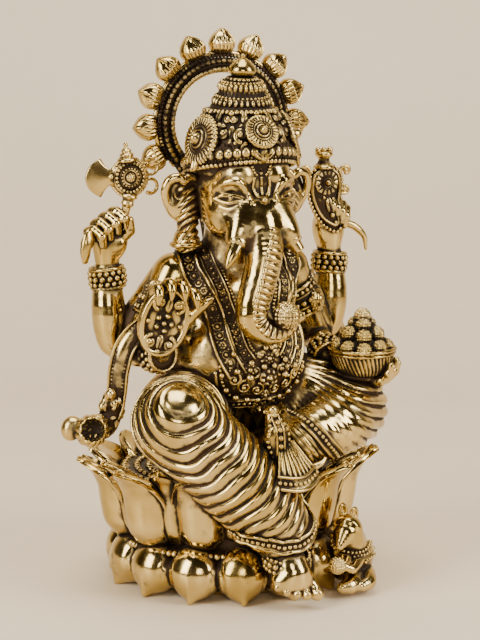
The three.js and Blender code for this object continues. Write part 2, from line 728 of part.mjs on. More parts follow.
// ---------------------------------------------------------------- the assembly
// Earlier pieces keep their full shape, and a later piece is cut back to a gap from each one it meets.
const PIECES = [
  ["lotus_core", ANTIQUE, lotusCore],
  ["torso", POLISHED, torso],
  ["head", POLISHED, head],
  ["trunk", POLISHED, trunk],
  ["right_leg_dhoti", POLISHED, rightLeg],
  ["left_leg_dhoti", POLISHED, leftLeg],
  ["right_foot", POLISHED, rightFoot],
  ["left_foot", POLISHED, leftFoot],
  ["front_right_arm", POLISHED, arm(-1, FRONT_ELBOW_R, FRONT_WRIST_R)],
  ["front_left_arm", POLISHED, arm(1, FRONT_ELBOW_L, FRONT_WRIST_L)],
  ["rear_right_arm", POLISHED, arm(-1, mirrored(REAR_ELBOW), mirrored(REAR_WRIST))],
  ["rear_left_arm", POLISHED, arm(1, REAR_ELBOW, REAR_WRIST)],
  ["axe", ANTIQUE, axe],
  ["noose_emblem", ANTIQUE, noose],
  ["sweet_bowl", ANTIQUE, sweetBowl],
  ["sweet_heap", ANTIQUE, sweetHeap],
  ["rear_right_hand", POLISHED, fist(-1)],
  ["rear_left_hand", POLISHED, fist(1)],
  ["blessing_hand", POLISHED, blessingHand],
  ["palm_medallion", ANTIQUE, palmMedallion],
  ["offering_hand", POLISHED, offeringHand],
  ["right_ear", POLISHED, ear(-1)],
  ["left_ear", POLISHED, ear(1)],
  ["right_tusk", POLISHED, tusk(-1, 8.6)],
  ["left_broken_tusk", POLISHED, tusk(1, 3.4)],
  ["trunk_sweet", ANTIQUE, heldSweet(at(3.6, -32, 80.9), 3.4)],
  ["crown_body", ANTIQUE, crownBody],
  ["crown_band", ANTIQUE, crownBand],
  ["crown_tiers", ANTIQUE, crownTiers],
  ["crown_finial", POLISHED, crownFinial],
  ["crown_front_rosette", ANTIQUE, rosette(at(0, -20.8, 130), [76, 0, 0], 4.2, 1.4)],
  ["crown_right_rosette", ANTIQUE, rosette(at(-13.4, -8, 128), [0, -80, 0], 6.2, 1.6)],
  ["crown_left_rosette", ANTIQUE, rosette(at(13.4, -8, 128), [0, 80, 0], 6.2, 1.6)],
  ["halo_ring", DARK, haloRing],
  ["halo_petals", POLISHED, haloPetals],
  ["halo_stem", DARK, haloStem],
  ["waist_belt", ANTIQUE, waistBelt],
  ["belly_ornament", ANTIQUE, bellyOrnament],
  ["outer_garland", ANTIQUE, garland(14.5, 58, 2.4, 1.2)],
  ["inner_garland", ANTIQUE, garland(8.6, 69, 1.7, 1)],
  ["front_tassel", ANTIQUE, frontTassel],
  ["front_sash_fan", ANTIQUE, frontSashFan],
  ["right_hem_band", ANTIQUE, hem(RIGHT_SHIN_END.clone().add(at(0, 0, -0.8)), 10.4, [-10, 12, 0])],
  ["left_hem_band", ANTIQUE, hem(at(14, -25.8, 45.4), 8.9, [22, 66, 0])],
  ["right_anklet", ANTIQUE, cuff(RIGHT_ANKLE, at(1.3, -38, 8), 0.4, 5.4, 1.8)],
  ["right_armlet", ANTIQUE, armlet(-1)],
  ["left_armlet", ANTIQUE, armlet(1)],
  ["rear_right_bracelet", ANTIQUE, cuff(mirrored(REAR_ELBOW), mirrored(REAR_WRIST), 0.9, 4.3, 5)],
  ["rear_left_bracelet", ANTIQUE, cuff(REAR_ELBOW, REAR_WRIST, 0.9, 4.3, 5)],
  ["front_right_bracelet", ANTIQUE, cuff(FRONT_ELBOW_R, FRONT_WRIST_R, 0.84, 4.6, 4.4)],
  ["front_left_bracelet", ANTIQUE, cuff(FRONT_ELBOW_L, FRONT_WRIST_L, 0.84, 4.6, 4.4)],
  ["right_shawl", ANTIQUE, rightShawl],
  ["left_shawl", ANTIQUE, leftShawl],
  ["mouse", POLISHED, mouse],
  ["mouse_tail", POLISHED, mouseTail],
  ["mouse_sweet", POLISHED, heldSweet(MOUSE.clone().add(at(-5.4, -8.4, 9)), 2.2)],
  ["lower_petals", POLISHED, lowerPetals],
  ["upper_petals", POLISHED, upperPetals],
];

function overlaps(a, b) {
  return [0, 1, 2].every((k) => a.min[k] < b.max[k] && b.min[k] < a.max[k]);
}

function largestBody(manifold) {
  return manifold.decompose().reduce((best, body) => (body.volume() > best.volume() ? body : best));
}

const statue = new THREE.Group();
const placed = [];
for (const [name, material, shape] of PIECES) {
  let body = shape(0).simplify(FACET_TOLERANCE);
  for (const grown of placed) {
    if (overlaps(body.boundingBox(), grown.boundingBox())) body = body.subtract(grown);
  }
  const mesh = new THREE.Mesh(toGeometry(largestBody(body.simplify(CUT_TOLERANCE))), material);
  mesh.name = name;
  statue.add(mesh);
  placed.push(shape(GAP).simplify(CUT_TOLERANCE));
}

export default statue;
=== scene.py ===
import math

import bpy
import numpy as np
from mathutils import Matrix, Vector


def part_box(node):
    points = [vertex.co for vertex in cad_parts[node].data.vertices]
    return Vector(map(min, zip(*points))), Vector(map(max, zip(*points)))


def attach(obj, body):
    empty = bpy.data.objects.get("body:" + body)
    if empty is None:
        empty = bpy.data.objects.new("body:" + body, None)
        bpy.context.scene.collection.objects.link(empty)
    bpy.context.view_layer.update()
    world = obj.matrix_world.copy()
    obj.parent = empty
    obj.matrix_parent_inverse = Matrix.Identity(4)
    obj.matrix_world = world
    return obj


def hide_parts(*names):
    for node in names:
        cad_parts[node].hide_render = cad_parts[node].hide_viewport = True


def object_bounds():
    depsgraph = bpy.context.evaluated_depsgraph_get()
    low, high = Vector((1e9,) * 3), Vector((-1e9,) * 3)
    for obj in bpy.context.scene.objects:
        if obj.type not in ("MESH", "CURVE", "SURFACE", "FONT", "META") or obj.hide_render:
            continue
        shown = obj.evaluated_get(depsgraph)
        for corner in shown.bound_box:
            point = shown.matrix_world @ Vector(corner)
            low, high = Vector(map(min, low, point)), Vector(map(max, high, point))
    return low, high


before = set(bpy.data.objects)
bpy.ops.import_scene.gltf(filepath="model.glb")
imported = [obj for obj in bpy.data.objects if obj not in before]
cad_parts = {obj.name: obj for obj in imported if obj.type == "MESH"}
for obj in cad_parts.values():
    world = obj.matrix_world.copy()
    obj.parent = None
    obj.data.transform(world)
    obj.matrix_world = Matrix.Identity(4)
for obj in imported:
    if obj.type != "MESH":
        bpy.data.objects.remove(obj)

import openvdb
from mathutils import Vector

# A brass statuette, sculpted from signed distances and dressed with small meshes. Lengths are in millimetres,
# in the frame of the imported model, until a mesh is made: +Z is up, -Y the front, +X the figure's own left.
MM = 0.001
CAD_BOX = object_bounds()
ROOT = "root"
CLAY_STEP = 0.38  # spacing of the sculpting grid
FINE_STEP = 0.26  # the same for small, detailed pieces
FAR = 1000.0
QUARTER = 1.57  # a quarter turn, in radians
rng = np.random.default_rng(11)


# ---------------------------------------------------------------- places taken from the frame
def corners(node):
    """The low and high corners of a CAD node's box."""
    return [np.array(corner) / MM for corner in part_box(node)]


def spot(node, across, deep, high):
    """A point at given shares of a CAD node's box."""
    low, top = corners(node)
    return low + (top - low) * np.array([across, deep, high])


def vec(x, y, z):
    return np.array([x, y, z], float)


def around(base, *offsets):
    """The points at given offsets from a place."""
    return [base + vec(*offset) for offset in offsets]


def mirrored(point):
    return np.array(point) * vec(-1, 1, 1)


BELLY = spot("torso", 0.5, 0.447, 0.38)
CHEST = spot("torso", 0.5, 0.471, 0.624)
SHOULDER = spot("torso", 0.896, 0.496, 0.691)
HEAD = spot("head", 0.507, 0.534, 0.506)
RIGHT_KNEE = spot("right_leg_dhoti", 0.249, 0.38, 0.742)
RIGHT_SHIN_END = spot("right_leg_dhoti", 0.827, 0.159, 0.125)
LEFT_KNEE = spot("left_leg_dhoti", 0.73, 0.434, 0.464)
LEFT_SHIN_END = spot("left_leg_dhoti", 0.181, 0.145, 0.33)
REAR_ELBOW = spot("rear_left_arm", 0.74, 0.65, 0.16)
REAR_WRIST = spot("rear_left_bracelet", 0.52, 0.5, 0.85)
REAR_HAND = spot("rear_left_hand", 0.37, 0.6, 0.56)
BLESSING_PALM = spot("blessing_hand", 0.39, 0.4, 0.51)
BLESSING_WRIST = spot("front_right_bracelet", 0.54, 0.27, 0.51)
RIGHT_FRONT_ELBOW = spot("front_right_arm", 0.25, 0.7, 0.14)
LEFT_FRONT_ELBOW = spot("front_left_arm", 0.74, 0.75, 0.18)
LEFT_FRONT_WRIST = spot("front_left_bracelet", 0.5, 0.3, 0.3)
BOWL = spot("sweet_bowl", 0.5, 0.5, 0.0)
AXE_HUB = spot("axe", 0.587, 0.634, 0.717)
MOUSE = spot("mouse", 0.44, 0.56, -0.03)
HALO = spot("halo_ring", 0.5, 0.5, 0.411)
HALO_RX = 17.0
HALO_RZ = 16.2
HALO_SWEEP = 128  # how far the ring runs down each side from its top, in degrees


# ---------------------------------------------------------------- vectors and curves
def unit(v):
    v = np.asarray(v, float)
    return v / np.maximum(np.linalg.norm(v, axis=-1, keepdims=True), 1e-9)


def turning(degrees):
    """The rotation about X, then Y, then Z."""
    a, b, c = np.radians(degrees)
    about_x = np.array([[1, 0, 0], [0, math.cos(a), -math.sin(a)], [0, math.sin(a), math.cos(a)]])
    about_y = np.array([[math.cos(b), 0, math.sin(b)], [0, 1, 0], [-math.sin(b), 0, math.cos(b)]])
    about_z = np.array([[math.cos(c), -math.sin(c), 0], [math.sin(c), math.cos(c), 0], [0, 0, 1]])
    return about_z @ about_y @ about_x


def curve(points, steps=6):
    """A smooth line through points, with steps pieces between each two. Extra columns ride along."""
    p = np.asarray(points, float)
    p = np.vstack([2 * p[0] - p[1], p, 2 * p[-1] - p[-2]])
    out = []
    for i in range(1, len(p) - 2):
        t = np.linspace(0, 1, steps, endpoint=False)[:, None]
        a, b, c, d = p[i - 1:i + 3]
        out.append(0.5 * (2 * b + (c - a) * t + (2 * a - 5 * b + 4 * c - d) * t ** 2
                          + (3 * b - a - 3 * c + d) * t ** 3))
    out.append(p[-2:-1])
    return np.vstack(out)


def lengths(line):
    """Distance along a line up to each of its points."""
    return np.concatenate([[0], np.cumsum(np.linalg.norm(np.diff(line, axis=0), axis=1))])


def places_at(line, s, at):
    """The values of a line, whose points lie at distances s, at other distances along it."""
    return np.stack([np.interp(at, s, column) for column in line.T], -1)


def paced(line, gap):
    """Points a given distance apart along a line, as evenly as its length allows."""
    s = lengths(line)
    count = max(int(round(s[-1] / gap)), 1) + 1
    return places_at(line, s, np.linspace(0, s[-1], count))


def full_turn(count):
    """Angles evenly spread round a circle."""
    return np.linspace(0, 2 * math.pi, count, endpoint=False)


def plane(normal, up=(0, 0, 1)):
    """A unit normal, and the directions across and up in the plane it stands on."""
    normal = unit(normal)
    across = unit(np.cross(np.asarray(up, float), normal))
    return normal, across, np.cross(normal, across)


def tangents(line):
    """The direction of a line at each of its points."""
    return unit(np.gradient(line, axis=0))


# ---------------------------------------------------------------- clay: signed distances on a grid
def smooth_min(a, b, blend):
    """The lesser of two distances, with the join between them rounded over a width of blend."""
    if blend <= 0:
        return np.minimum(a, b)
    share = np.clip(0.5 + 0.5 * (b - a) / blend, 0, 1)
    return b + (a - b) * share - blend * share * (1 - share)


def off_segment(a, b, x, y, z):
    """The share of the way from a to b where each grid point is nearest, and its offset from there."""
    ab = b - a
    share = ((x - a[0]) * ab[0] + (y - a[1]) * ab[1] + (z - a[2]) * ab[2]) / max(ab @ ab, 1e-9)
    share = np.clip(share, 0, 1)
    return share, [x - a[0] - share * ab[0], y - a[1] - share * ab[1], z - a[2] - share * ab[2]]


class Shape:
    """A distance function and the box that its solid lies in."""

    def __init__(self, low, high, distance):
        self.low = np.asarray(low, float)
        self.high = np.asarray(high, float)
        self.distance = distance


def egg(centre, radii, turn=(0, 0, 0)):
    """An ellipsoid, turned by degrees about X, Y and Z."""
    centre = np.asarray(centre, float)
    radii = np.ones(3) * radii
    axes = turning(turn)

    def distance(x, y, z):
        local = [(x - centre[0]) * axes[0, k] + (y - centre[1]) * axes[1, k] + (z - centre[2]) * axes[2, k]
                 for k in range(3)]
        near = np.sqrt(sum((local[k] / radii[k]) ** 2 for k in range(3)))
        slope = np.sqrt(sum((local[k] / radii[k] ** 2) ** 2 for k in range(3)))
        return near * (near - 1) / np.maximum(slope, 1e-6)

    reach = radii.max()
    return Shape(centre - reach, centre + reach, distance)


def limb(points, radii, steps=5):
    """A round-ended limb along a smooth line whose thickness changes from point to point."""
    line = curve(np.column_stack([points, radii]), steps)
    middle, thick = line[:, :3], line[:, 3]

    def distance(x, y, z):
        best = None
        for a, b, ra, rb in zip(middle[:-1], middle[1:], thick[:-1], thick[1:]):
            t, (dx, dy, dz) = off_segment(a, b, x, y, z)
            d = np.sqrt(dx ** 2 + dy ** 2 + dz ** 2) - (ra + (rb - ra) * t)
            best = d if best is None else np.minimum(best, d)
        return best

    reach = thick.max()
    return Shape(middle.min(0) - reach, middle.max(0) + reach, distance)


def nearest(line, x, y, z):
    """For each point of the grid: how far along a line its nearest point lies, and the offset from it."""
    s = lengths(line)
    best = np.full(np.broadcast(x, y, z).shape, FAR ** 2, np.float32)
    along = np.zeros_like(best)
    offset = [np.zeros_like(best) for _ in range(3)]
    for i, (a, b) in enumerate(zip(line[:-1], line[1:])):
        t, parts = off_segment(a, b, x, y, z)
        d = parts[0] ** 2 + parts[1] ** 2 + parts[2] ** 2
        closer = d < best
        best = np.where(closer, d, best)
        along = np.where(closer, s[i] + t * (s[i + 1] - s[i]), along)
        offset = [np.where(closer, part, old) for part, old in zip(parts, offset)]
    return along, offset, np.sqrt(best)


class Clay:
    """A block of clay: shapes are added to it, cut from it and pressed into it, then it is cast as a mesh."""

    def __init__(self, low, high, step=CLAY_STEP):
        self.step = step
        self.low = np.asarray(low, float) - 4 * step
        count = np.ceil((np.asarray(high) - self.low) / step).astype(int) + 5
        self.axes = [(self.low[k] + step * np.arange(count[k])).astype(np.float32) for k in range(3)]
        self.d = np.full(count, FAR, np.float32)

    def window(self, low, high):
        cut = tuple(slice(max(int(np.searchsorted(a, lo)) - 1, 0), int(np.searchsorted(a, hi)) + 1)
                    for a, lo, hi in zip(self.axes, low, high))
        x, y, z = (self.axes[k][cut[k]] for k in range(3))
        return cut, x[:, None, None], y[None, :, None], z[None, None, :]

    def everywhere(self):
        x, y, z = self.axes
        return x[:, None, None], y[None, :, None], z[None, None, :]

    def add(self, shape, blend=0.0, sign=1):
        """Joins a shape to the clay, with a fillet blend wide. A sign of -1 takes it away instead."""
        pad = blend + 3 * self.step
        cut, x, y, z = self.window(shape.low - pad, shape.high + pad)
        if self.d[cut].size:
            self.d[cut] = sign * smooth_min(sign * self.d[cut], shape.distance(x, y, z), blend)

    def cut(self, shape, blend=0.0):
        self.add(shape, blend, -1)

    def press(self, push):
        """Moves the surface out by push(x, y, z) millimetres."""
        self.d[:] = self.d - push(*self.everywhere())

    def join(self, other, low, high, reach=FAR):
        """Takes in what another block holds between two corners."""
        cut, x, y, z = self.window(low, high)
        spots = np.stack(np.broadcast_arrays(x, y, z), -1).reshape(-1, 3)
        near = np.clip(other.sample(spots), -reach, reach)
        self.d[cut] = np.minimum(self.d[cut], near.reshape(self.d[cut].shape))

    def sample(self, points, field=None):
        """The field's value at each point, blended between the grid's own values."""
        field = self.d if field is None else field
        at = (np.asarray(points) - self.low) / self.step
        cell = np.clip(np.floor(at).astype(int), 0, np.array(field.shape) - 2)
        f = np.clip(at - cell, 0, 1)
        i, j, k = cell.T
        out = 0
        for di in (0, 1):
            for dj in (0, 1):
                for dk in (0, 1):
                    weight = (np.where(di, f[:, 0], 1 - f[:, 0]) * np.where(dj, f[:, 1], 1 - f[:, 1])
                              * np.where(dk, f[:, 2], 1 - f[:, 2]))
                    out = out + weight * field[i + di, j + dj, k + dk]
        return out

    def slope(self, points):
        points = np.asarray(points, float)
        h = 0.75 * self.step
        parts = [self.sample(points + h * axis) - self.sample(points - h * axis) for axis in np.eye(3)]
        return np.stack(parts, 1) / (2 * h)

    def settle(self, points, lift=0.0, rounds=6):
        """The points moved onto the surface, or lift above it, with the surface's outward direction there."""
        points = np.array(points, float)
        for _ in range(rounds):
            grad = self.slope(points)
            size = np.maximum((grad ** 2).sum(1), 0.05)
            points -= (np.clip(self.sample(points) - lift, -3, 3) / size)[:, None] * grad
        return points, unit(self.slope(points))

    def cast(self):
        """(vertices, quads) of the surface."""
        grid = openvdb.FloatGrid(FAR)
        grid.copyFromArray(np.clip(self.d, -3, 3).astype(np.float32))
        points, _, quads = grid.convertToPolygons(isovalue=0.0, adaptivity=0.0)
        points = points * self.step + self.low
        for _ in range(2):
            grad = self.slope(points)
            size = np.maximum((grad ** 2).sum(1), 0.2)
            move = np.clip(self.sample(points), -0.3, 0.3) / size
            points = points - move[:, None] * grad
        return points, quads


# ---------------------------------------------------------------- small meshes
class Brass:
    """Closed surfaces gathered for one piece."""

    def __init__(self):
        self.points = []
        self.quads = []
        self.tris = []
        self.count = 0

    def add(self, points, quads=(), tris=()):
        """One closed surface, or several alike. Its faces are turned to look outwards."""
        points = np.asarray(points, float)
        quads = np.asarray(quads, int).reshape(-1, 4)
        tris = np.asarray(tris, int).reshape(-1, 3)
        halves = np.vstack([quads[:, [0, 1, 2]], quads[:, [0, 2, 3]], tris])
        a, b, c = (points[halves[:, k]] - points[0] for k in range(3))
        if (np.cross(a, b) * c).sum() < 0:
            quads, tris = quads[:, ::-1], tris[:, ::-1]
        self.points.append(points)
        self.quads.append(quads + self.count)
        self.tris.append(tris + self.count)
        self.count += len(points)
        return self

    def clay(self, clay):
        return self.add(*clay.cast())


def bead_template(n):
    """A unit sphere of quads: a cube whose faces are split n by n and blown up."""
    points, faces, seen = [], [], {}
    grid = np.tan(np.linspace(-1, 1, n + 1) * math.pi / 4)
    for axis in range(3):
        for side in (-1, 1):
            for i in range(n):
                for j in range(n):
                    square = [(grid[i], grid[j]), (grid[i + 1], grid[j]),
                              (grid[i + 1], grid[j + 1]), (grid[i], grid[j + 1])]
                    face = []
                    for u, v in square[::side]:
                        p = np.zeros(3)
                        p[axis], p[(axis + 1) % 3], p[(axis + 2) % 3] = side, u, v
                        key = tuple(np.round(p, 5))
                        if key not in seen:
                            seen[key] = len(points)
                            points.append(unit(p))
                        face.append(seen[key])
                    faces.append(face)
    return np.array(points), np.array(faces)


BIG_BEAD = bead_template(4)
BEAD = bead_template(3)
SMALL_BEAD = bead_template(2)


def beads(brass, places, radius):
    """A bead at each place. radius is one number or one per place."""
    places = np.atleast_2d(places)
    radii = np.ones(len(places)) * radius
    template, faces = SMALL_BEAD if radii.max() < 0.6 else BEAD if radii.max() < 1.6 else BIG_BEAD
    points = (places[:, None] + template[None] * radii[:, None, None]).reshape(-1, 3)
    shifts = np.arange(len(places)) * len(template)
    brass.add(points, (faces[None] + shifts[:, None, None]).reshape(-1, 4))


def frames_along(line, up, close=False):
    """Along, side and lift directions at each point of a line. up is one direction or one per point."""
    n = len(line)
    along = unit(np.roll(line, -1, 0) - np.roll(line, 1, 0)) if close else tangents(line)
    up = np.broadcast_to(np.asarray(up, float), (n, 3))
    side = unit(np.cross(along, up))
    return along, side, unit(np.cross(side, along))


def ring_quads(rows, sides, close=False):
    """The faces between rows of points, each row going once round."""
    k = np.arange(sides)
    after = (k + 1) % sides
    row = np.arange(rows if close else rows - 1)[:, None]
    low, high = row * sides, (row + 1) % rows * sides
    return np.stack([low + k, low + after, high + after, high + k], -1).reshape(-1, 4)


def tube(brass, line, radius, sides=8, up=(0, 0, 1), close=False, flat=1.0, lobes=0, twist=0.0, depth=0.0):
    """A cord along a line, its ends rounded. flat squeezes it along up. lobes, with a twist in turns per mm
    and grooves depth (a share) deep, make it a rope."""
    line = np.asarray(line, float)
    n = len(line)
    radii = np.ones(n) * radius
    _, side, lift = frames_along(line, up, close)
    angle = full_turn(sides)
    turn = 2 * math.pi * twist * lengths(line)[:, None]
    wave = 1 + depth * np.cos(lobes * (angle[None] - turn)) if lobes else np.ones((n, sides))
    across = (radii[:, None] * wave * np.cos(angle))[..., None] * side[:, None]
    above = (radii[:, None] * wave * flat * np.sin(angle))[..., None] * lift[:, None]
    points = (line[:, None] + across + above).reshape(-1, 3)
    tris = []
    if not close:
        ends = [line[0] + 0.5 * radii[0] * unit(line[0] - line[1]), line[-1] + 0.5 * radii[-1]
                * unit(line[-1] - line[-2])]
        first, last, start = n * sides, n * sides + 1, (n - 1) * sides
        points = np.vstack([points, ends])
        tris = [[first, (i + 1) % sides, i] for i in range(sides)]
        tris += [[last, start + i, start + (i + 1) % sides] for i in range(sides)]
    brass.add(points, ring_quads(n, sides, close), tris)


def sheet(brass, front, back):
    """A closed leaf between two grids of points of the same shape (rows, columns, 3)."""
    rows, columns = front.shape[:2]
    points = np.vstack([front.reshape(-1, 3), back.reshape(-1, 3)])
    shift = rows * columns
    i, j = np.meshgrid(np.arange(rows - 1), np.arange(columns - 1), indexing="ij")
    a = (i * columns + j).reshape(-1)
    quads = np.stack([a, a + 1, a + columns + 1, a + columns], 1)
    rim = np.concatenate([np.arange(columns), np.arange(2, rows) * columns - 1,
                          np.arange(rows * columns - 1, (rows - 1) * columns - 1, -1),
                          np.arange(rows - 2, 0, -1) * columns])
    after = np.roll(rim, -1)
    walls = np.stack([after, rim, rim + shift, after + shift], 1)
    brass.add(points, np.vstack([quads, quads[:, ::-1] + shift, walls]))


def strap(brass, line, normals, profile, width=1.0):
    """A strap along a line on a surface. profile lists (across, above) points from edge to edge of its face.
    width scales it across, with one number or one per point. Its underside is sunk a little."""
    _, side, lift = frames_along(line, normals)
    profile = np.asarray(profile, float)
    share = (np.ones(len(line)) * width)[:, None, None]
    spread = line[:, None] + share * profile[None, :, :1] * side[:, None]
    sheet(brass, spread + profile[None, :, 1:] * lift[:, None], spread - 0.8 * lift[:, None])


def medallion(brass, centre, normal, radius, height, up=(0, 0, 1), rings=14, sectors=48, depth=1.0,
              stretch=(1, 1)):
    """A round boss. height(share of the radius, angle) is its relief above a plane, and depth how far it goes
    below it. stretch scales it across and up."""
    normal, across, top = plane(normal, up)
    share = np.linspace(0, 1, rings + 1)[1:]
    angle = full_turn(sectors)
    r, a = np.meshgrid(share, angle, indexing="ij")
    flat = ((radius * r * np.cos(a) * stretch[0])[..., None] * across
            + (radius * r * np.sin(a) * stretch[1])[..., None] * top)
    face = centre + flat + height(r, a)[..., None] * normal
    peak = centre + height(np.zeros(1), np.zeros(1))[0] * normal
    points = np.vstack([peak, face.reshape(-1, 3), centre + flat[-1] - depth * normal, centre - depth
                        * normal])
    k = np.arange(sectors)
    after = (k + 1) % sectors
    rows = 1 + np.arange(rings)[:, None] * sectors
    quads = np.stack([rows + k, rows + sectors + k, rows + sectors + after, rows + after], -1).reshape(-1, 4)
    last = 1 + rings * sectors
    tris = np.vstack([np.stack([0 * k, 1 + k, 1 + after], 1),
                      np.stack([0 * k + last + sectors, last + after, last + k], 1)])
    brass.add(points, quads, tris)


def lathe(brass, profile, centre, axis=(0, 0, 1), segments=48, ribs=0, depth=0.0, slant=0.0, stretch=(1, 1)):
    """A turned shape of (radius, height) points. ribs swell between grooves depth (a share) deep that lean by
    slant, in radians per mm."""
    axis = unit(axis)
    across = unit(np.cross((0.0, 1.0, 0.01), axis))
    other = np.cross(axis, across)
    profile = np.asarray(profile, float)
    angle = full_turn(segments)
    r, z = profile[:, :1], profile[:, 1:]
    wave = 1 - depth * (1 - np.abs(np.sin(0.5 * ribs * (angle + slant * z)))) if ribs else 1
    points = centre + ((r * wave * np.cos(angle) * stretch[0])[..., None] * across
                       + (r * wave * np.sin(angle) * stretch[1])[..., None] * other
                       + (z * np.ones(segments))[..., None] * axis)
    n = len(profile)
    k = np.arange(segments)
    after = (k + 1) % segments
    points = np.vstack([points.reshape(-1, 3), points[0].mean(0), points[-1].mean(0)])
    tris = np.vstack([np.stack([0 * k + n * segments, after, k], 1),
                      np.stack([0 * k + n * segments + 1, (n - 1) * segments + k, (n - 1) * segments
                                + after], 1)])
    brass.add(points, ring_quads(n, segments), tris)


def round_top(share):
    """The height of a round dome at a share of its radius."""
    return np.sqrt(np.clip(1 - share ** 2, 0, 1))


def bump(x, width):
    """1 at zero, falling smoothly to 0 at a distance of width."""
    return np.cos(np.clip(np.abs(x) / width, 0, 1) * math.pi / 2) ** 2


def step(x, low, high):
    """0 below low, 1 above high, and smooth between them."""
    t = np.clip((x - low) / (high - low), 0, 1)
    return t * t * (3 - 2 * t)


def ridges(phase, sharp=1.0):
    """Rounded folds, one per unit of phase: 1 on a crest, 0 in the crease between two."""
    return np.abs(np.cos(math.pi * phase)) ** sharp


PIECES = {}


def piece(node):
    PIECES[node] = Brass()
    return PIECES[node]


# ---------------------------------------------------------------- torso and head
def box_clay(node, grow=2.5, step=CLAY_STEP):
    """Clay that fills a CAD node's box and a margin round it."""
    low, high = corners(node)
    return Clay(low - grow, high + grow, step)


def build_torso():
    """Belly, chest, shoulders and neck."""
    clay = box_clay("torso")
    clay.add(egg(BELLY + vec(0, 0.6, 0.4), (20.8, 18.6, 18.6)))
    clay.add(egg(BELLY + vec(0, 5, -15), (20, 13, 12.5)), 5)
    clay.add(egg(CHEST, (16.3, 11.2, 11)), 6)
    clay.add(limb([mirrored(SHOULDER), CHEST + vec(0, 1.5, 7), SHOULDER], [6.6, 7.5, 6.6]), 4)
    clay.add(limb([CHEST + vec(0, -1, 6), HEAD + vec(0, 2, -8)], [9.2, 8.8]), 3)
    for side in (-1, 1):
        clay.add(egg(CHEST + vec(side * 8.2, -7.5, 0.5), (6.6, 4.6, 5.4)), 3)
    return clay


def build_head():
    """Skull, brow bosses, cheeks, jaw and lips."""
    clay = box_clay("head", 6, FINE_STEP)
    clay.add(egg(HEAD + vec(0, 0.4, 0.6), (12.9, 13.4, 13.4)))
    points, radii = trunk_line()
    clay.add(limb(points[:4], radii[:4] - 0.25), 4)
    for side in (-1, 1):
        clay.add(egg(HEAD + vec(side * 4.7, -8.2, 4.4), (6.2, 6.6, 5.6)), 2.4)
        clay.add(egg(HEAD + vec(side * 7.4, -5.6, -5.4), (6.0, 8.2, 8.2)), 3)
        clay.add(egg(HEAD + vec(side * 5.2, -9.0, -9.6), (5.0, 6.6, 5.0)), 2.5)
    clay.add(egg(HEAD + vec(0, -12.0, -9.0), (6.8, 6.2, 6.6)), 3.5)
    for side in (-1, 1):
        lip = around(HEAD, (side * 4.6, -12.4, -5.5), (side * 6.6, -14.6, -10.2), (side * 8.0, -15.4, -12.8))
        clay.add(limb(lip, [4.6, 4.1, 3.1]), 2.2)
    clay.cut(limb(around(HEAD, (0, -17.9, 8), (0, -18.8, 3)), [1.1, 1.3]), 2.0)
    for side in (-1, 1):
        carve_eye(clay, side)
    return clay


def carve_eye(clay, side):
    """A shallow hollow, the ball with its pupil, two lids, the folds round them, and the brow's arc."""
    def on_face(places, lift):
        return clay.settle([HEAD + vec(-side * x, y, z) for x, y, z in places], lift)[0]

    socket = on_face([(-8.7, -13.0, -1.0)], 1.5)[0]
    clay.cut(egg(socket, (3.1, 2.0, 1.6), (0, side * 12, side * 34)), 1.2)
    clay.add(egg(on_face([(-8.7, -13.0, -1.3)], -1.0)[0], (2.8, 1.8, 1.4), (0, side * 12, side * 34)), 0.2)
    # The two lids, the fold over the eye, the pouch under it, and the brow.
    for places, lift, radii, blend in (([(-5.3, -14.4, -2.7), (-6.6, -14, -1.2), (-8.7, -13, -0.4),
                                         (-10.7, -11.5, -0.7), (-12.2, -9.6, -1.6)], 0.2,
                                        [0.3, 0.6, 0.75, 0.65, 0.3], 0.3),
                                       ([(-5.3, -14.4, -2.7), (-7.0, -14, -2.9), (-8.8, -13, -3.0),
                                         (-10.6, -11.5, -2.6), (-12.2, -9.6, -1.6)], 0.1,
                                        [0.3, 0.45, 0.5, 0.45, 0.3], 0.3),
                                       ([(-5.9, -14.6, 0.4), (-8.6, -13.4, 1.5), (-11.6, -11.0, 0.9)],
                                        -0.35, [0.7, 1.15, 0.8], 0.9),
                                       ([(-6.0, -14, -4.2), (-8.8, -13, -4.6), (-11.2, -11, -3.8)], -0.1,
                                        [0.25, 0.4, 0.25], 0.7),
                                       ([(-3.9, -16, -2.6), (-4.5, -15.6, 0.4), (-7.0, -14.6, 2.9),
                                         (-10.2, -12.2, 2.9), (-12.9, -9.0, 0.6)], 0.2,
                                        [0.5, 0.95, 1.15, 1.0, 0.45], 0.8)):
        clay.add(limb(on_face(places, lift), radii), blend)
    clay.add(egg(on_face([(-8.6, -13, -1.2)], 0.0)[0], (0.85, 0.5, 0.85)), 0.12)


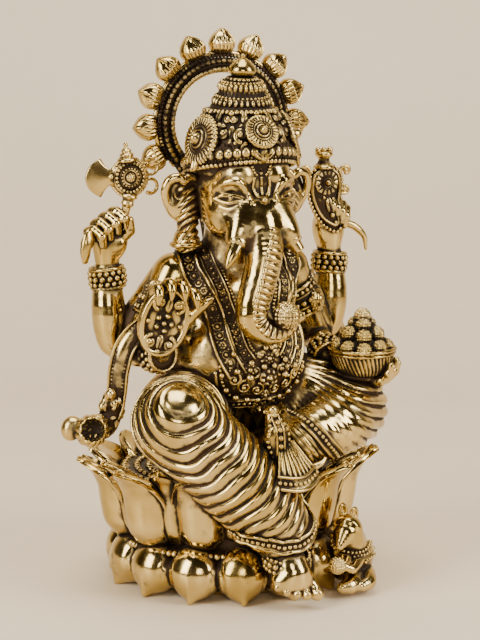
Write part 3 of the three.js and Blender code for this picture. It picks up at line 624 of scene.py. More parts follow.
def dress_face(brass):
    """The mark on the forehead: three prongs in a cup, a bead under it, and two strings of beads above."""
    def on_face(places, lift=0.15):
        return HEAD_CLAY.settle([HEAD + vec(x, y, z) for x, y, z in places], lift)[0]

    for x in (-1.9, 0.0, 1.9):
        line = on_face([(0.55 * x, -16, 0.2), (x, -16, 1.4), (x * 1.05, -16, 2.8), (x * 0.95, -15.5, 4.2)])
        tube(brass, curve(line, 4), [0.42] * 12 + [0.24], 7, up=(0, -1, 0))
    cup = on_face([(-1.9, -16, 1.6), (-1.6, -16, 0.2), (0, -16, -0.6), (1.6, -16, 0.2), (1.9, -16, 1.6)])
    tube(brass, curve(cup, 5), 0.42, 7, up=(0, -1, 0))
    beads(brass, on_face([(0, -16, -2.3)], 0.3), 0.95)
    for side in (-1, 1):
        string = on_face([(side * 2.6, -14.5, 8.6), (side * 2.2, -15, 7.2), (side * 1.7, -15.5, 5.9),
                          (side * 1.1, -15.5, 4.9)], 0.1)
        beads(brass, paced(curve(string, 5), 0.95), 0.46)
    string = on_face([(0, -14.5, 8.8), (0, -15, 7.0), (0, -15.5, 5.4)], 0.1)
    beads(brass, paced(curve(string, 5), 1.1), 0.52)


def trunk_line():
    """The trunk's middle line from between the eyes to its tip, and its radii."""
    points = np.array([[0, -7.4, -2.4], [-0.3, -13.4, -9.6], [-0.9, -17.4, -17], [-3.0, -18.8, -24],
                       [-5.0, -19.2, -30], [-5.2, -19.6, -34.6], [-1.6, -20.2, -37.8],
                       [3.4, -20.2, -37.6], [7.4, -19.8, -34.6]])
    return HEAD + points, np.array([6.2, 6.3, 5.3, 4.9, 4.7, 4.4, 3.9, 3.1, 2.3])


def build_trunk():
    """The trunk, which hangs to the figure's right and curls back up to the sweet at its tip."""
    points, radii = trunk_line()
    clay = box_clay("trunk", 2.5, FINE_STEP)
    clay.add(limb(points, radii, 6))
    line = curve(points, 6)
    total = lengths(line)[-1]
    along_line = tangents(line)
    s_line = lengths(line)
    front = unit(vec(0.16, -1, 0.05))

    def rings(x, y, z):
        """The raised strip up the trunk's front, notched across."""
        along, offset, away = nearest(line, x, y, z)
        forward = sum(offset[k] * front[k] for k in range(3)) / np.maximum(away, 0.5)
        tangent_z = np.interp(along, s_line, along_line[:, 2])
        tangent_x = np.interp(along, s_line, along_line[:, 0])
        sideways = (offset[0] * -tangent_z + offset[2] * tangent_x) / np.maximum(away, 0.5)
        strip = step(forward, 0.86, 0.93)
        inside = step(along, 10.5, 13) * step(total - along, -1, 3)
        lift = 0.42 + 0.75 * (ridges(along / 1.62, 0.9) - 0.5)
        wrinkle = 0.05 * np.cos(2 * math.pi * along / 3.2) * step(np.abs(sideways), 0.5, 0.9)
        return (strip * lift + wrinkle * (1 - strip)) * inside

    clay.press(rings)
    tip = points[-1]
    clay.add(egg(tip + vec(0.6, -0.4, 0.8), (2.7, 2.5, 1.6), (0, 40, 0)), 0.8)
    clay.cut(egg(tip + vec(1.4, -0.6, 2.4), (1.3, 1.3, 1.2)), 0.5)
    return clay


TORSO = build_torso()
piece("torso").clay(TORSO)
HEAD_CLAY = build_head()
dress_face(piece("head").clay(HEAD_CLAY))
piece("trunk").clay(build_trunk())


# ---------------------------------------------------------------- legs in folded cloth
def build_right_leg():
    """The raised knee, with its shin laid down across the seat, in ringed folds of cloth."""
    knee, end = RIGHT_KNEE, RIGHT_SHIN_END
    clay = box_clay("right_leg_dhoti")
    clay.add(limb(around(knee, (14.3, 23, -2.2), (6.3, 10, -0.6), (0, 0, 0)), [14, 13.2, 11.6]))
    clay.add(limb([knee, knee + vec(10.8, -6.5, -11.7), knee + vec(20.3, -10.6, -22.7), end],
                  [11.6, 12.0, 10.8, 9.0]), 3)
    clay.add(egg(knee + vec(-1.2, -1.2, 2.2), (9.6, 9.6, 8.6)), 2)
    cap = knee + vec(-1.6, -6.5, 7.2)
    fall = unit(vec(0.10, -0.30, -0.95))
    shin = unit(end - knee)
    gap, shift = 2.45, 0.95  # how much wider each ring of cloth is than the last, and how far down it moves
    first = 4.2  # the radius of the first ring

    def folds(x, y, z):
        """Rings about the top of the knee, each set further down than the last, so that they crowd together
        on the shin's inner edge and open out on its lower side."""
        qx, qy, qz = x - cap[0], y - cap[1], z - cap[2]
        away = qx ** 2 + qy ** 2 + qz ** 2
        down = qx * fall[0] + qy * fall[1] + qz * fall[2]
        a, b = gap ** 2 - shift ** 2, shift * down + first * gap
        ring = (-b + np.sqrt(np.maximum(b ** 2 + a * (away - first ** 2), 0))) / a
        along = (x - knee[0]) * shin[0] + (y - knee[1]) * shin[1] + (z - knee[2]) * shin[2]
        waver = 0.10 * np.sin(0.41 * x + 0.23 * z) + 0.08 * np.sin(0.57 * y - 0.36 * z + 1.3)
        deep = 1.15 * step(np.sqrt(away), 3.6, 8.5) * (1 - 0.7 * step(along, 36, 43))
        deep = deep * (1 + 0.25 * np.sin(0.33 * x - 0.21 * z))
        return deep * (ridges(ring + waver, 0.72) - 0.74)

    clay.press(folds)
    return clay


def build_left_leg():
    """The crossed leg that lies flat, in folds that fan out over it."""
    knee, end = LEFT_KNEE, LEFT_SHIN_END
    clay = box_clay("left_leg_dhoti")
    clay.add(limb(around(knee, (-21, 15, 0), (-9.5, 7, 1.6), (0, 0, 0)), [14, 13.6, 11]))
    clay.add(limb([knee, knee + vec(-8, -9, -2), end], [10.6, 9.6, 7.2]), 2.5)
    groin = knee + vec(-27, -2, 16)

    def folds(x, y, z):
        """Folds that fan from the groin round the thigh and over the knee."""
        dx, dy, dz = x - groin[0], y - groin[1], z - groin[2]
        reach = np.sqrt(dx ** 2 + dy ** 2 + dz ** 2)
        drop = np.arctan2(-dz, np.sqrt(dx ** 2 + 0.35 * dy ** 2) + 1e-3)
        phase = drop / 0.088 + 0.25 * np.sin(0.16 * x) + 0.02 * dy
        deep = 1.2 * step(reach, 12, 26) * (1 - 0.3 * step(reach, 40, 48))
        shin = step(-(y - knee[1] + 9), 0, 6) * step(-(x - knee[0] + 1), 0, 6)
        return deep * (ridges(phase, 0.7) - 0.72) * (1 - 0.85 * shin)

    clay.press(folds)
    return clay


RIGHT_LEG = build_right_leg()
piece("right_leg_dhoti").clay(RIGHT_LEG)
LEFT_LEG = build_left_leg()
piece("left_leg_dhoti").clay(LEFT_LEG)


# ---------------------------------------------------------------- the lotus seat
LOWER_LOW, LOWER_TOP = corners("lower_petals")
LOWER_R, LOWER_COUNT, LOWER_START = 35.5, 14, 8.5
UPPER_X, UPPER_Y, UPPER_COUNT, UPPER_START = 44.0, 38.0, 11, -2.0
WAIST = LOWER_TOP[2] - 1.5
SEAT = corners("lotus_core")[1][2]


def round_at(angle, rx, ry, z):
    """A point on an ellipse, an angle round from the front."""
    return vec(rx * math.sin(angle), -ry * math.cos(angle), z)


def build_core():
    """The round body of the seat, with rows of seeds on top and a beaded waist."""
    brass = piece("lotus_core")
    profile = [(0.0, 0.1), (18, 0.1), (23.5, 0.2), (25.5, 2), (27.5, 7), (29.5, WAIST - 1.6),
               (31, WAIST - 0.4), (31, WAIST + 0.9), (27.5, WAIST + 2.2), (27.5, 24), (31, SEAT - 3.4),
               (32.6, SEAT - 1.8), (32.4, SEAT - 0.6), (31, SEAT - 0.1), (26, SEAT - 0.7),
               (10, SEAT - 0.8), (0.0, SEAT - 0.8)]
    lathe(brass, curve(profile, 3), vec(0, 0, 0), segments=180, stretch=(31.6 / 33, 1.0))
    for reach, count, shift in ((30.2, 60, 0), (26.6, 52, 0.5), (23, 44, 0)):
        seeds = [round_at(2 * math.pi * (i + shift) / count, reach, reach * 0.955, SEAT - 0.55)
                 for i in range(count)]
        beads(brass, seeds, 1.05)
    beads(brass, [round_at(angle, 31.6, 30.4, WAIST + 0.3) for angle in full_turn(110)], 0.95)


def build_lower_petals():
    """Plump petals round the foot of the seat, each with a keel and a pointed nub."""
    clay = Clay(LOWER_LOW - 1.5, LOWER_TOP + 1.5)
    for i in range(LOWER_COUNT):
        angle = math.radians(LOWER_START + 360 * i / LOWER_COUNT)
        turn = (0, 0, math.degrees(angle))
        belly = round_at(angle, LOWER_R - 6.2, LOWER_R - 6.2, 7.8)
        shoulder = round_at(angle, LOWER_R - 7.4, LOWER_R - 7.4, 11.2)
        petal = Clay(belly - 11, belly + 11)
        petal.add(egg(belly, (7.7, 6.5, 7.3), turn))
        petal.add(egg(shoulder, (4.9, 4.6, 4.0), turn), 2.5)
        low = round_at(angle, LOWER_R - 4.7, LOWER_R - 4.7, 4.4)
        tip = round_at(angle, LOWER_R - 1.7, LOWER_R - 1.7, 1.15)
        petal.add(limb([low, tip], [3.6, 0.8]), 1.3)
        side = vec(math.cos(angle), math.sin(angle), 0)
        out = round_at(angle, 1, 1, 0)

        def crease(x, y, z):
            """A faint keel from the nub up the petal's middle, and a lip along its lower edges."""
            across = x * side[0] + y * side[1]
            deep = (x - belly[0]) * out[0] + (y - belly[1]) * out[1]
            keel = 0.42 * bump(across, 1.5) * step(deep, 0.5, 3.0) * step(9.5 - z, 0, 6)
            return keel - 0.25 * bump(np.abs(across) - 4.6 - 0.16 * z, 0.8) * step(deep, -1, 1)

        petal.press(crease)
        clay.join(petal, petal.low + 2, petal.low + petal.step * (np.array(petal.d.shape) - 6))
    x, y, z = clay.everywhere()
    clay.d = np.maximum(clay.d, 0.15 - z)
    clay.d = np.maximum(clay.d, 26.4 - np.sqrt(x ** 2 + y ** 2))
    return clay


def petal_sheet(brass, angle, reach, half, lift):
    """One upper petal: a convex shield with a raised rim, its pointed lip curled outwards."""
    rows, columns = 40, 45
    rx, ry = UPPER_X * reach, UPPER_Y * reach
    v = np.linspace(0, 1, rows) ** 0.9
    u = np.sin(np.linspace(-1, 1, columns) * math.pi / 2)
    back_off = np.interp(v, [0, 0.12, 0.3, 0.5, 0.7, 0.83, 0.92, 0.97, 1.0],
                         [15.5, 11.6, 8.4, 7.2, 6.3, 4.1, 1.9, 0.7, 0.0])
    high = np.interp(v, [0, 0.12, 0.3, 0.5, 0.7, 0.83, 0.92, 0.97, 1.0],
                     [12.8, 14.2, 18.2, 23.4, 29.2, 32.8, 35.1, 36.1, 36.5]) + lift
    wide = np.interp(v, [0, 0.05, 0.15, 0.3, 0.5, 0.68, 0.82, 0.92, 1.0],
                     [1.2, 3.8, 6.4, 8.2, 8.8, 8.1, 6.9, 4.9, 0.6])
    wide *= half / 8.8
    kernel = np.array([0.25, 0.5, 0.25])
    for _ in range(3):
        back_off[1:-1] = np.convolve(back_off, kernel, "valid")
        high[1:-1] = np.convolve(high, kernel, "valid")
        wide[1:-1] = np.convolve(wide, kernel, "valid")
    out = vec(math.sin(angle) * rx, -math.cos(angle) * ry, 0)
    size = np.linalg.norm(out)
    normal = unit(vec(math.sin(angle) / rx, -math.cos(angle) / ry, 0))
    side = np.cross((0, 0, 1), normal)
    spine = out[None] * ((size - back_off) / size)[:, None] + high[:, None] * vec(0, 0, 1)
    edge = np.abs(u)
    round_off = (5.6 * np.interp(v, [0, 0.5, 0.8, 1.0], [0.9, 1.0, 0.45, 0.0]))[:, None] * (edge ** 2.0)[None]
    dip = np.interp(v, [0, 0.7, 0.9, 1.0], [0, 0, 0.7, 0.2])[:, None] * (1 - edge[None] ** 2)
    rim = 0.95 * bump(edge - 0.96, 0.06)[None] * np.interp(v, [0, 0.1, 1], [0.4, 1, 1])[:, None]
    proud = 1.25 * bump(edge - 0.845, 0.07)[None] * np.interp(v, [0, 0.74, 0.86, 1], [1, 1, 0.15, 0])[:, None]
    rise = np.interp(v, [0, 0.15, 0.4, 0.7, 0.85, 1], [0.2, 1, 1, 0.8, 0, 0])[:, None]
    shield = 1.3 * step(0.84 - edge, 0, 0.5)[None] * rise
    front = (spine[:, None] + (wide[:, None] * u[None])[..., None] * side
             + (rim - proud + shield - round_off + dip)[..., None] * normal)
    thick = (np.interp(v, [0, 0.6, 0.85, 1], [1.1, 1.1, 1.9, 1.5])[:, None]
             + 1.8 * (1 - edge[None] ** 2) * np.interp(v, [0, 0.6, 1], [1, 1, 0.4])[:, None])
    slope = unit(np.gradient(spine, axis=0))
    inward = unit(np.cross(slope, side))
    back = front + thick[..., None] * inward[:, None]
    sheet(brass, front, back)


def build_upper_petals():
    """Two staggered rows of shield-shaped petals."""
    brass = piece("upper_petals")
    for turn, reach, half, lift in ((0, 1.0, 8.9, 0.0), (0.5, 0.92, 7.6, 0.5)):
        for i in range(UPPER_COUNT):
            petal_sheet(brass, math.radians(UPPER_START + 360 * (i + turn) / UPPER_COUNT), reach, half, lift)


build_core()
piece("lower_petals").clay(build_lower_petals())
build_upper_petals()


# ---------------------------------------------------------------- arms and hands
def simple_limb(node, points, radii):
    """A piece that is one limb. The clay comes back, for what is laid on it."""
    clay = box_clay(node)
    clay.add(limb(points, radii), 2.5)
    piece(node).clay(clay)
    return clay


REAR_ELBOW_R, REAR_WRIST_R, REAR_HAND_R = mirrored(REAR_ELBOW), mirrored(REAR_WRIST), mirrored(REAR_HAND)
def build_arms():
    """Two arms on each side, front and rear, each from shoulder to wrist."""
    arms = []
    for node, side, elbow, bend, wrist in (
            ("front_right_arm", -1, RIGHT_FRONT_ELBOW, (5.4, -0.6, 9.5), BLESSING_WRIST),
            ("front_left_arm", 1, LEFT_FRONT_ELBOW, (-4.8, -0.6, 9.5), LEFT_FRONT_WRIST)):
        low = wrist + (vec(-1, 3, 0.2) if side < 0 else vec(0.6, 3, 1.4))
        shoulder = SHOULDER * vec(side, 1, 1) + vec(side * 0.5, 0, 0.4)
        arms.append(simple_limb(node, [shoulder, elbow + vec(*bend), elbow, low, wrist],
                                [6.4, 5.2, 4.4, 4.0, 3.6]))
    for node, side in (("rear_right_arm", -1), ("rear_left_arm", 1)):
        flip = vec(side, 1, 1)
        elbow = REAR_ELBOW * flip
        points = [SHOULDER * flip + vec(side, 1.5, 0), elbow + vec(side * -6.5, -1.6, 7.5), elbow,
                  elbow + vec(side * 2.4, 0, 8.4), REAR_WRIST * flip]
        arms.append(simple_limb(node, points, [5.8, 5.2, 4.7, 4.9, 3.7]))
    return arms


ARMS = build_arms()


def fingers(clay, chains, radius=1.15, blend=0.25):
    """Fingers with a swelling at each joint."""
    for chain in chains:
        radii = np.interp(np.arange(len(chain)), [0, len(chain) - 1], [radius * 1.12, radius * 0.82])
        clay.add(limb(chain, radii), blend)
        for joint in chain[1:-1]:
            clay.add(egg(joint, radius * 1.12), 0.3)


def build_rear_right_hand():
    clay = box_clay("rear_right_hand", 5, FINE_STEP)
    palm = REAR_HAND_R
    clay.add(limb([REAR_WRIST_R + vec(0, 0, 1), palm + vec(-0.2, 0.6, -4.4), palm + vec(0.2, 0.8, -0.6)],
                  [3.2, 3.9, 3.7]))
    clay.add(egg(palm + vec(0.4, 0.4, -1.6), (4.6, 2.8, 4.8), (0, 10, 0)), 2)
    clay.add(egg(palm + vec(3.0, -1.2, -3.2), (2.0, 1.9, 3.4), (0, 16, 0)), 1.4)
    chains = []
    for x, top, reach in ((-5.2, 0.6, 0.2), (-3.2, 2.6, 0.0), (-0.9, 4.2, -0.2), (1.6, 5.4, 0.0)):
        chains.append(around(palm, (x + 0.8, 1.8, -0.8), (x - 0.5, 1.0, top), (x + 0.2, -1.8, top + 0.9),
                             (x + 1.7, -3.9, top - 0.9), (x + 2.4, -3.3 + reach, top - 3.3)))
    fingers(clay, chains, 1.3)
    fingers(clay, [around(palm, (3.4, -1.0, -1.6), (5.2, -3.0, 0.8), (5.0, -3.6, 4.0))], 1.4)
    return clay


def build_rear_left_hand():
    clay = box_clay("rear_left_hand", 5, FINE_STEP)
    palm = REAR_HAND
    clay.add(limb([REAR_WRIST + vec(0, 0, 1), palm + vec(0, 0.6, -4.4), palm + vec(-0.2, 0.8, -0.6)],
                  [3.3, 4.1, 3.9]))
    clay.add(egg(palm + vec(0, 0.2, -2.0), (4.8, 2.9, 5.2), (0, -6, 0)), 2)
    clay.add(egg(palm + vec(-2.9, -1.5, -2.6), (2.0, 1.8, 3.8), (0, -14, 0)), 1.2)
    fingers(clay, [around(palm, (-3.4, -1.4, -0.6), (-4.6, -2.0, 2.4), (-4.3, -1.8, 6.2))], 1.25)
    chains = []
    for x, top in ((-0.6, 6.2), (1.0, 5.3), (2.5, 4.2), (3.8, 2.8)):
        chains.append(around(palm, (x, 1.6, 0.2), (x + 1.0, 0.8, top), (x + 0.6, -2.6, top + 0.6),
                             (x - 0.3, -4.2, top - 1.4), (x - 0.5, -3.6, top - 4.2)))
    fingers(clay, chains, 1.16)
    return clay


PALM_TILT = (6, 14, -8)


def build_blessing_hand():
    palm = BLESSING_PALM
    clay = box_clay("blessing_hand", 4.5, FINE_STEP)
    axes = turning(PALM_TILT)

    def on(x, y, z):
        return palm + axes @ vec(x, y, z)

    clay.add(egg(on(0, 0.4, 0), (6.9, 3.0, 10.2), PALM_TILT))
    clay.cut(egg(on(0, -5.4, 0.2), (5.6, 4.0, 8.6), PALM_TILT), 0.5)
    rim = [on(6.2 * math.sin(a), -2.0, 9.3 * math.cos(a)) for a in np.linspace(0, 2 * math.pi, 25)]
    clay.add(limb(rim, [0.85] * len(rim), 2), 0.4)
    for x, top, bend in ((-4.6, 7.4, 0.6), (-1.9, 9.4, 1.0), (1.2, 9.8, 1.6), (4.2, 8.4, 2.4)):
        clay.add(limb([on(x, 0.4, 4.6), on(x * 0.98, -0.2, top), on(x + 0.5 * bend, -2.4, top + 1.5),
                       on(x + bend, -4.2, top + 0.2), on(x + 1.3 * bend, -4.9, top - 2.2)],
                      [1.7, 1.6, 1.5, 1.25, 0.5]), 0.3)
    clay.add(limb([on(5.6, -0.6, -0.4), on(7.6, -2.0, 3.6), on(9.2, -3.4, 7.2), on(11.0, -4.0, 9.6)],
                  [1.7, 1.5, 1.3, 0.4]), 0.6)
    clay.add(limb([on(0.4, 2.4, -7), BLESSING_WRIST + vec(0, 0, 0.6)], [3.6, 3.4]), 2)
    return clay


def build_offering_hand():
    clay = box_clay("offering_hand", 4.5, FINE_STEP)
    rim = BOWL
    clay.add(egg(rim + vec(-0.5, 1.0, 0.2), (6.6, 6.2, 2.1), (0, 4, 0)))
    clay.add(limb([LEFT_FRONT_WRIST + vec(0.6, -0.6, -0.6), rim + vec(-3.6, 3.4, -0.6)], [3.5, 3.0]), 2)
    chains = []
    for i in range(4):
        turn = math.radians(-64 + 27 * i)
        out = vec(math.cos(turn), math.sin(turn), 0)
        chains.append([rim + 3.4 * out + vec(0, 0, -1.0), rim + 6.9 * out + vec(0, 0, -0.5), rim + 9.4
                       * out + vec(0, 0, 1.9), rim + 10.3 * out + vec(0, 0, 4.2)])
    fingers(clay, chains, 1.3, 0.5)
    return clay


for node, build in (("rear_right_hand", build_rear_right_hand), ("rear_left_hand", build_rear_left_hand),
                    ("blessing_hand", build_blessing_hand), ("offering_hand", build_offering_hand)):
    piece(node).clay(build())


def build_ears():
    """Each ear: a pleated fan behind a scalloped rim, with a hollow, and a ring below."""
    for side, node in ((-1, "right_ear"), (1, "left_ear")):
        clay = box_clay(node, 3.5, FINE_STEP)

        def on(x, y, z):
            return HEAD + vec(side * x, y, z)

        clay.add(egg(on(16.4, 3.2, -2.2), (5.6, 2.5, 6.2), (0, side * 10, side * 16)))
        clay.add(egg(on(14.4, 3.2, -6.0), (3.9, 2.5, 5.2), (0, side * -8, side * 10)), 1.5)
        clay.add(limb([on(14.4, 3.2, -7), on(14.8, 2.8, -11), on(15.4, 2.4, -14.6)], [2.9, 2.7, 3.8]), 1.4)
        clay.add(egg(on(16.6, 2.0, -4.6), (4.8, 2.5, 4.6), (0, side * 10, side * 16)), 1.2)
        rim = [(11.8, 1.2, 0.6), (13.2, 0.6, 2.9), (15.4, 0.4, 3.3), (16.9, 0.2, 2.2), (18.6, 0.4, 3.4),
               (21.0, 1.2, 2.4), (22.0, 1.8, -0.6), (21.2, 2.2, -4.0), (18.9, 2.6, -7.0)]
        clay.add(limb([on(*p) for p in rim], [0.8, 1.1, 1.2, 1.05, 1.25, 1.35, 1.2, 1.0, 0.7]), 0.6)
        clay.cut(egg(on(19.0, 0.5, -0.2), (1.5, 1.3, 2.2), (0, side * 24, 0)), 0.6)

        def pleats(x, y, z):
            """Folds that curve round from the face to the rim, closer together down the neck."""
            across = np.abs(x - HEAD[0])
            drop = HEAD[2] - z
            phase = (drop - 0.10 * (across - 12.5) ** 2 + 2.6) / np.where(drop > 6.5, 2.1, 2.25)
            where = step(-(across - 19.4), 0, 2.4) * step(drop, -2.2, 0.2) * step(18.5 - drop, 0, 1)
            return 0.8 * where * (ridges(phase, 0.75) - 0.7)

        clay.press(pleats)
        brass = piece(node).clay(clay)
        ring = [on(15.4 + 4.1 * math.cos(a), 2.4 + 3.8 * math.sin(a), -15.6) for a in full_turn(18)]
        tube(brass, ring, 0.75, 8, close=True)


def build_tusks():
    """The whole tusk and the broken one, each in a collar."""
    root = HEAD + vec(-8.4, -16.2, -13.6)
    tip = HEAD + vec(-12.7, -18.6, -19.8)
    axis = unit(tip - root)
    size = np.linalg.norm(tip - root)
    profile = [(0.0, -2.5), (2.6, -2.4), (2.9, -0.8), (2.9, 0.1), (2.6, 0.6), (2.3, 0.8), (2.2, 1.6),
               (1.9, 0.5 * size), (1.3, 0.76 * size), (0.6, 0.93 * size), (0.15, size), (0.0, size)]
    lathe(piece("right_tusk"), curve(profile, 4), root, axis, 40)
    root = HEAD + vec(8.2, -15.8, -13.2)
    axis = unit(vec(0.6, -0.4, -1))
    profile = [(0.0, -1.5), (2.4, -1.4), (2.7, -0.4), (2.6, 0.9), (2.1, 1.5), (1.9, 2.6), (1.7, 4.0),
               (1.3, 4.3), (0.0, 4.1)]
    lathe(piece("left_broken_tusk"), curve(profile, 4), root, axis, 40)


build_ears()
build_tusks()


# ---------------------------------------------------------------- halo
def halo_spot(degrees, out, y=0.0):
    a = math.radians(degrees)
    return HALO + vec((HALO_RX + out) * math.sin(a), y, (HALO_RZ + out) * math.cos(a))


def ring_round(centre, axis, radius, sides):
    axis = unit(axis)
    across = unit(np.cross(axis, (0.0, 1.0, 0.02)))
    other = np.cross(axis, across)
    a = full_turn(sides)
    return centre + radius * (np.cos(a)[:, None] * across + np.sin(a)[:, None] * other)


def build_halo_ring():
    """A round band with two rows of slanting leaves, a beaded outer edge and a roped inner one."""
    ring = piece("halo_ring")
    sweep = HALO_SWEEP
    fine = np.linspace(-sweep, sweep, 220)
    band = np.array([halo_spot(a, 0.2) for a in fine])
    tube(ring, band, 1.75, 14, up=(0, 1, 0), flat=0.9)
    for shift in (0.0, 1.3):
        for lay in (-1.3, 1.0):
            for a in np.arange(-sweep + 2, sweep, 5.2) + shift:
                low, top = halo_spot(a - 2.2, lay - 0.7, -1.15), halo_spot(a + 2.2, lay + 0.8, -1.35)
                middle = halo_spot(a, lay + 0.1, -1.95)
                tube(ring, curve([low, middle, top], 3), [0.3, 0.5, 0.62, 0.72, 0.62, 0.4, 0.2], 6,
                     up=(0, 1, 0), flat=0.7)
    beads(ring, [halo_spot(a, 2.55, -1.1) for a in np.arange(-sweep, sweep, 3.3)], 0.62)
    edge = np.array([halo_spot(a, -1.9, -0.6) for a in fine])
    tube(ring, edge, 0.42, 6, up=(0, 1, 0), lobes=2, twist=0.5, depth=0.25)


def build_halo_petals():
    """Ribbed petals that stand out round the ring, each domed and drawn to a point."""
    pitch, count = 23, 11
    petals = piece("halo_petals")
    rim = np.array([halo_spot(a, 3.3, 0.0) for a in np.linspace(-HALO_SWEEP + 6, HALO_SWEEP - 6, 160)])
    tube(petals, rim, 0.85, 8, up=(0, 1, 0))
    v = np.linspace(0, 1, 30)
    u = np.linspace(-1, 1, 41)
    wide = np.interp(v, [0, 0.05, 0.18, 0.36, 0.54, 0.72, 0.86, 0.94, 1.0],
                     [1.0, 2.3, 3.5, 3.9, 3.7, 2.9, 1.7, 0.9, 0.15])
    wide[1:-1] = np.convolve(wide, [0.25, 0.5, 0.25], "valid")
    edge = np.abs(u)[None]
    dome = round_top(edge)
    for i in range(count):
        turn = (i - (count - 1) / 2) * pitch
        root, tip = halo_spot(turn, 2.9), halo_spot(turn, 10.2)
        out = unit(tip - root)
        side = np.cross(out, (0, 1, 0))
        size = np.linalg.norm(tip - root)
        belly = np.interp(v, [0, 0.2, 0.45, 0.7, 0.88, 1.0], [1.0, 2.7, 3.1, 2.1, 1.2, 1.3])[:, None] * dome
        fan = 3.4 * u[None] * np.ones(len(v))[:, None]
        rib = 0.62 * (ridges(fan, 0.8) - 0.6) * (step(v, 0.04, 0.16) * (1 - step(v, 0.42, 0.7)))[:, None]
        lip = 0.5 * bump(edge - 0.90, 0.16) * step(v, 0.35, 0.6)[:, None]
        ridge = 0.4 * bump(u, 0.22)[None] * step(v, 0.62, 0.9)[:, None]
        lay = root + (v * size)[:, None, None] * out + (wide[:, None] * u[None])[..., None] * side
        front = lay - (0.4 + belly + rib * dome + lip + ridge)[..., None] * vec(0, 1, 0)
        back = lay + (0.5 + 1.1 * np.sin(math.pi * v)[:, None] * dome)[..., None] * vec(0, 1, 0)
        sheet(petals, front, back)


def build_halo_stem():
    """Two beaded bars that draw together down to the figure's back, and a web between them."""
    stem = piece("halo_stem")
    for side in (-1, 1):
        line = around(HALO, (side * 10.4, 0.6, -14.4), (side * 7, 1.6, -20), (side * 4.4, 1.0, -28),
                      (side * 3.2, 0.2, -38))
        soft = curve([halo_spot(side * 126, 0.2)] + line, 10)
        tube(stem, soft, 2.0, 12, up=(0, 1, 0), flat=0.8)
        for shift in (-1, 1):
            beads(stem, paced(soft, 1.7) + vec(shift * 1.35, -1.3, 0), 0.8)
    web = Clay(HALO + vec(-12, -4, -40), HALO + vec(12, 5, -10))
    web.add(limb(around(HALO, (0, 0.4, -17), (0, 0.8, -24), (0, -0.4, -37)), [2.2, 3.2, 2.8]))
    web.add(limb(around(HALO, (-8.5, 0.8, -16.5), (0, 1.2, -18.5), (8.5, 0.8, -16.5)), [1.6, 2.0, 1.6]), 1)
    stem.clay(web)


# ---------------------------------------------------------------- crown
CROWN = HEAD + vec(0, 0, 7.2)
DOME = curve([(0.0, -3.5), (12.2, -3.4), (13.6, -0.6), (14.0, 2.4), (13.5, 6.0), (12.2, 9.6),
              (10.4, 12.8), (8.8, 15.0), (7.6, 16.0), (0.0, 16.2)], 4)


def crown_axis(height):
    return CROWN + vec(0, -0.055 * height, height)


def on_crown(degrees, height, lift=0.0):
    """A point on the crown's dome, an angle round from the front, with the way out from it."""
    a = math.radians(degrees)
    wall = DOME[4:-4]
    radius = np.interp(height, wall[:, 1], wall[:, 0])
    slope = np.interp(height, wall[:, 1], np.gradient(wall[:, 0], wall[:, 1]))
    out = unit(vec(math.sin(a), -math.cos(a), -slope))
    return crown_axis(height) + radius * vec(math.sin(a), -math.cos(a), 0) + lift * out, out


def spiral(brass, centre, normal, size, turns, start, thick, hand=1, up=(0, 0, 1)):
    """A scroll lying on a surface: a tapering cord wound in to an end bead."""
    normal, across, top = plane(normal, up)
    t = np.linspace(0, 1, 26)
    r = size * (1 - 0.86 * t ** 0.8)
    a = start + hand * 2 * math.pi * turns * t
    line = centre + (r * np.cos(a))[:, None] * across + (r * np.sin(a))[:, None] * top
    tube(brass, line, thick * (1 - 0.35 * t), 6, up=normal)
    beads(brass, line[-1:], thick * 1.5)


def sunburst(brass, centre, normal, radius, pleats=26, stretch=(1, 1)):
    """A domed boss inside a ring, a beaded groove and a pleated rim."""
    def height(r, a):
        dome = 0.42 * radius * round_top(r / 0.26)
        ring = 0.16 * radius * bump(r - 0.36, 0.09) + 0.10 * radius * bump(r - 0.52, 0.06)
        pleat = 0.13 * radius * (ridges(a * pleats / (2 * math.pi), 0.8) - 0.25)
        pleat = pleat * step(r, 0.56, 0.66) * step(1.02 - r, 0, 0.12)
        dish = 0.10 * radius * (1 - r)
        return 0.25 + dome + ring + pleat + dish
    medallion(brass, centre, normal, radius, height, (0, 0, 1), 26, pleats * 4, 1.2, stretch)
    places = []
    normal, across, top = plane(normal)
    for a in full_turn(18):
        spot_on = 0.45 * radius * (math.cos(a) * stretch[0] * across + math.sin(a) * stretch[1] * top)
        places.append(centre + spot_on + (0.3 + 0.055 * radius) * normal)
    beads(brass, places, 0.055 * radius)


def build_crown_body():
    """The dome, covered by tiers of paired scrolls with leaves between them."""
    body = piece("crown_body")
    lathe(body, DOME, CROWN, unit(vec(0, -0.055, 1)), 96)
    for tier, (height, size, count) in enumerate(((4.2, 2.1, 12), (8.8, 1.9, 10), (12.6, 1.35, 9))):
        for i in range(count):
            angle = 360 * (i + 0.5 * (tier % 2)) / count
            for hand in (-1, 1):
                spread = hand * math.degrees(size * 0.92 / 13)
                place, out = on_crown(angle + spread, height, 0.12)
                spiral(body, place, out, 1.12 * size, 1.3, math.pi / 2, 0.40 * size, hand)
            place, out = on_crown(angle, height + size * 0.95, 0.35)
            beads(body, [place], 0.95)
            place, out = on_crown(angle + 180 / count, height + 0.2, 0.2)
            leaf(body, place, out, 2.0, 0.5)
            place, out = on_crown(angle + 180 / count, height - 1.9, 0.35)
            beads(body, [place], 0.6)
    beads(body, [on_crown(a, 14.2, 0.2)[0] for a in np.arange(0, 360, 8.0)], 0.75)


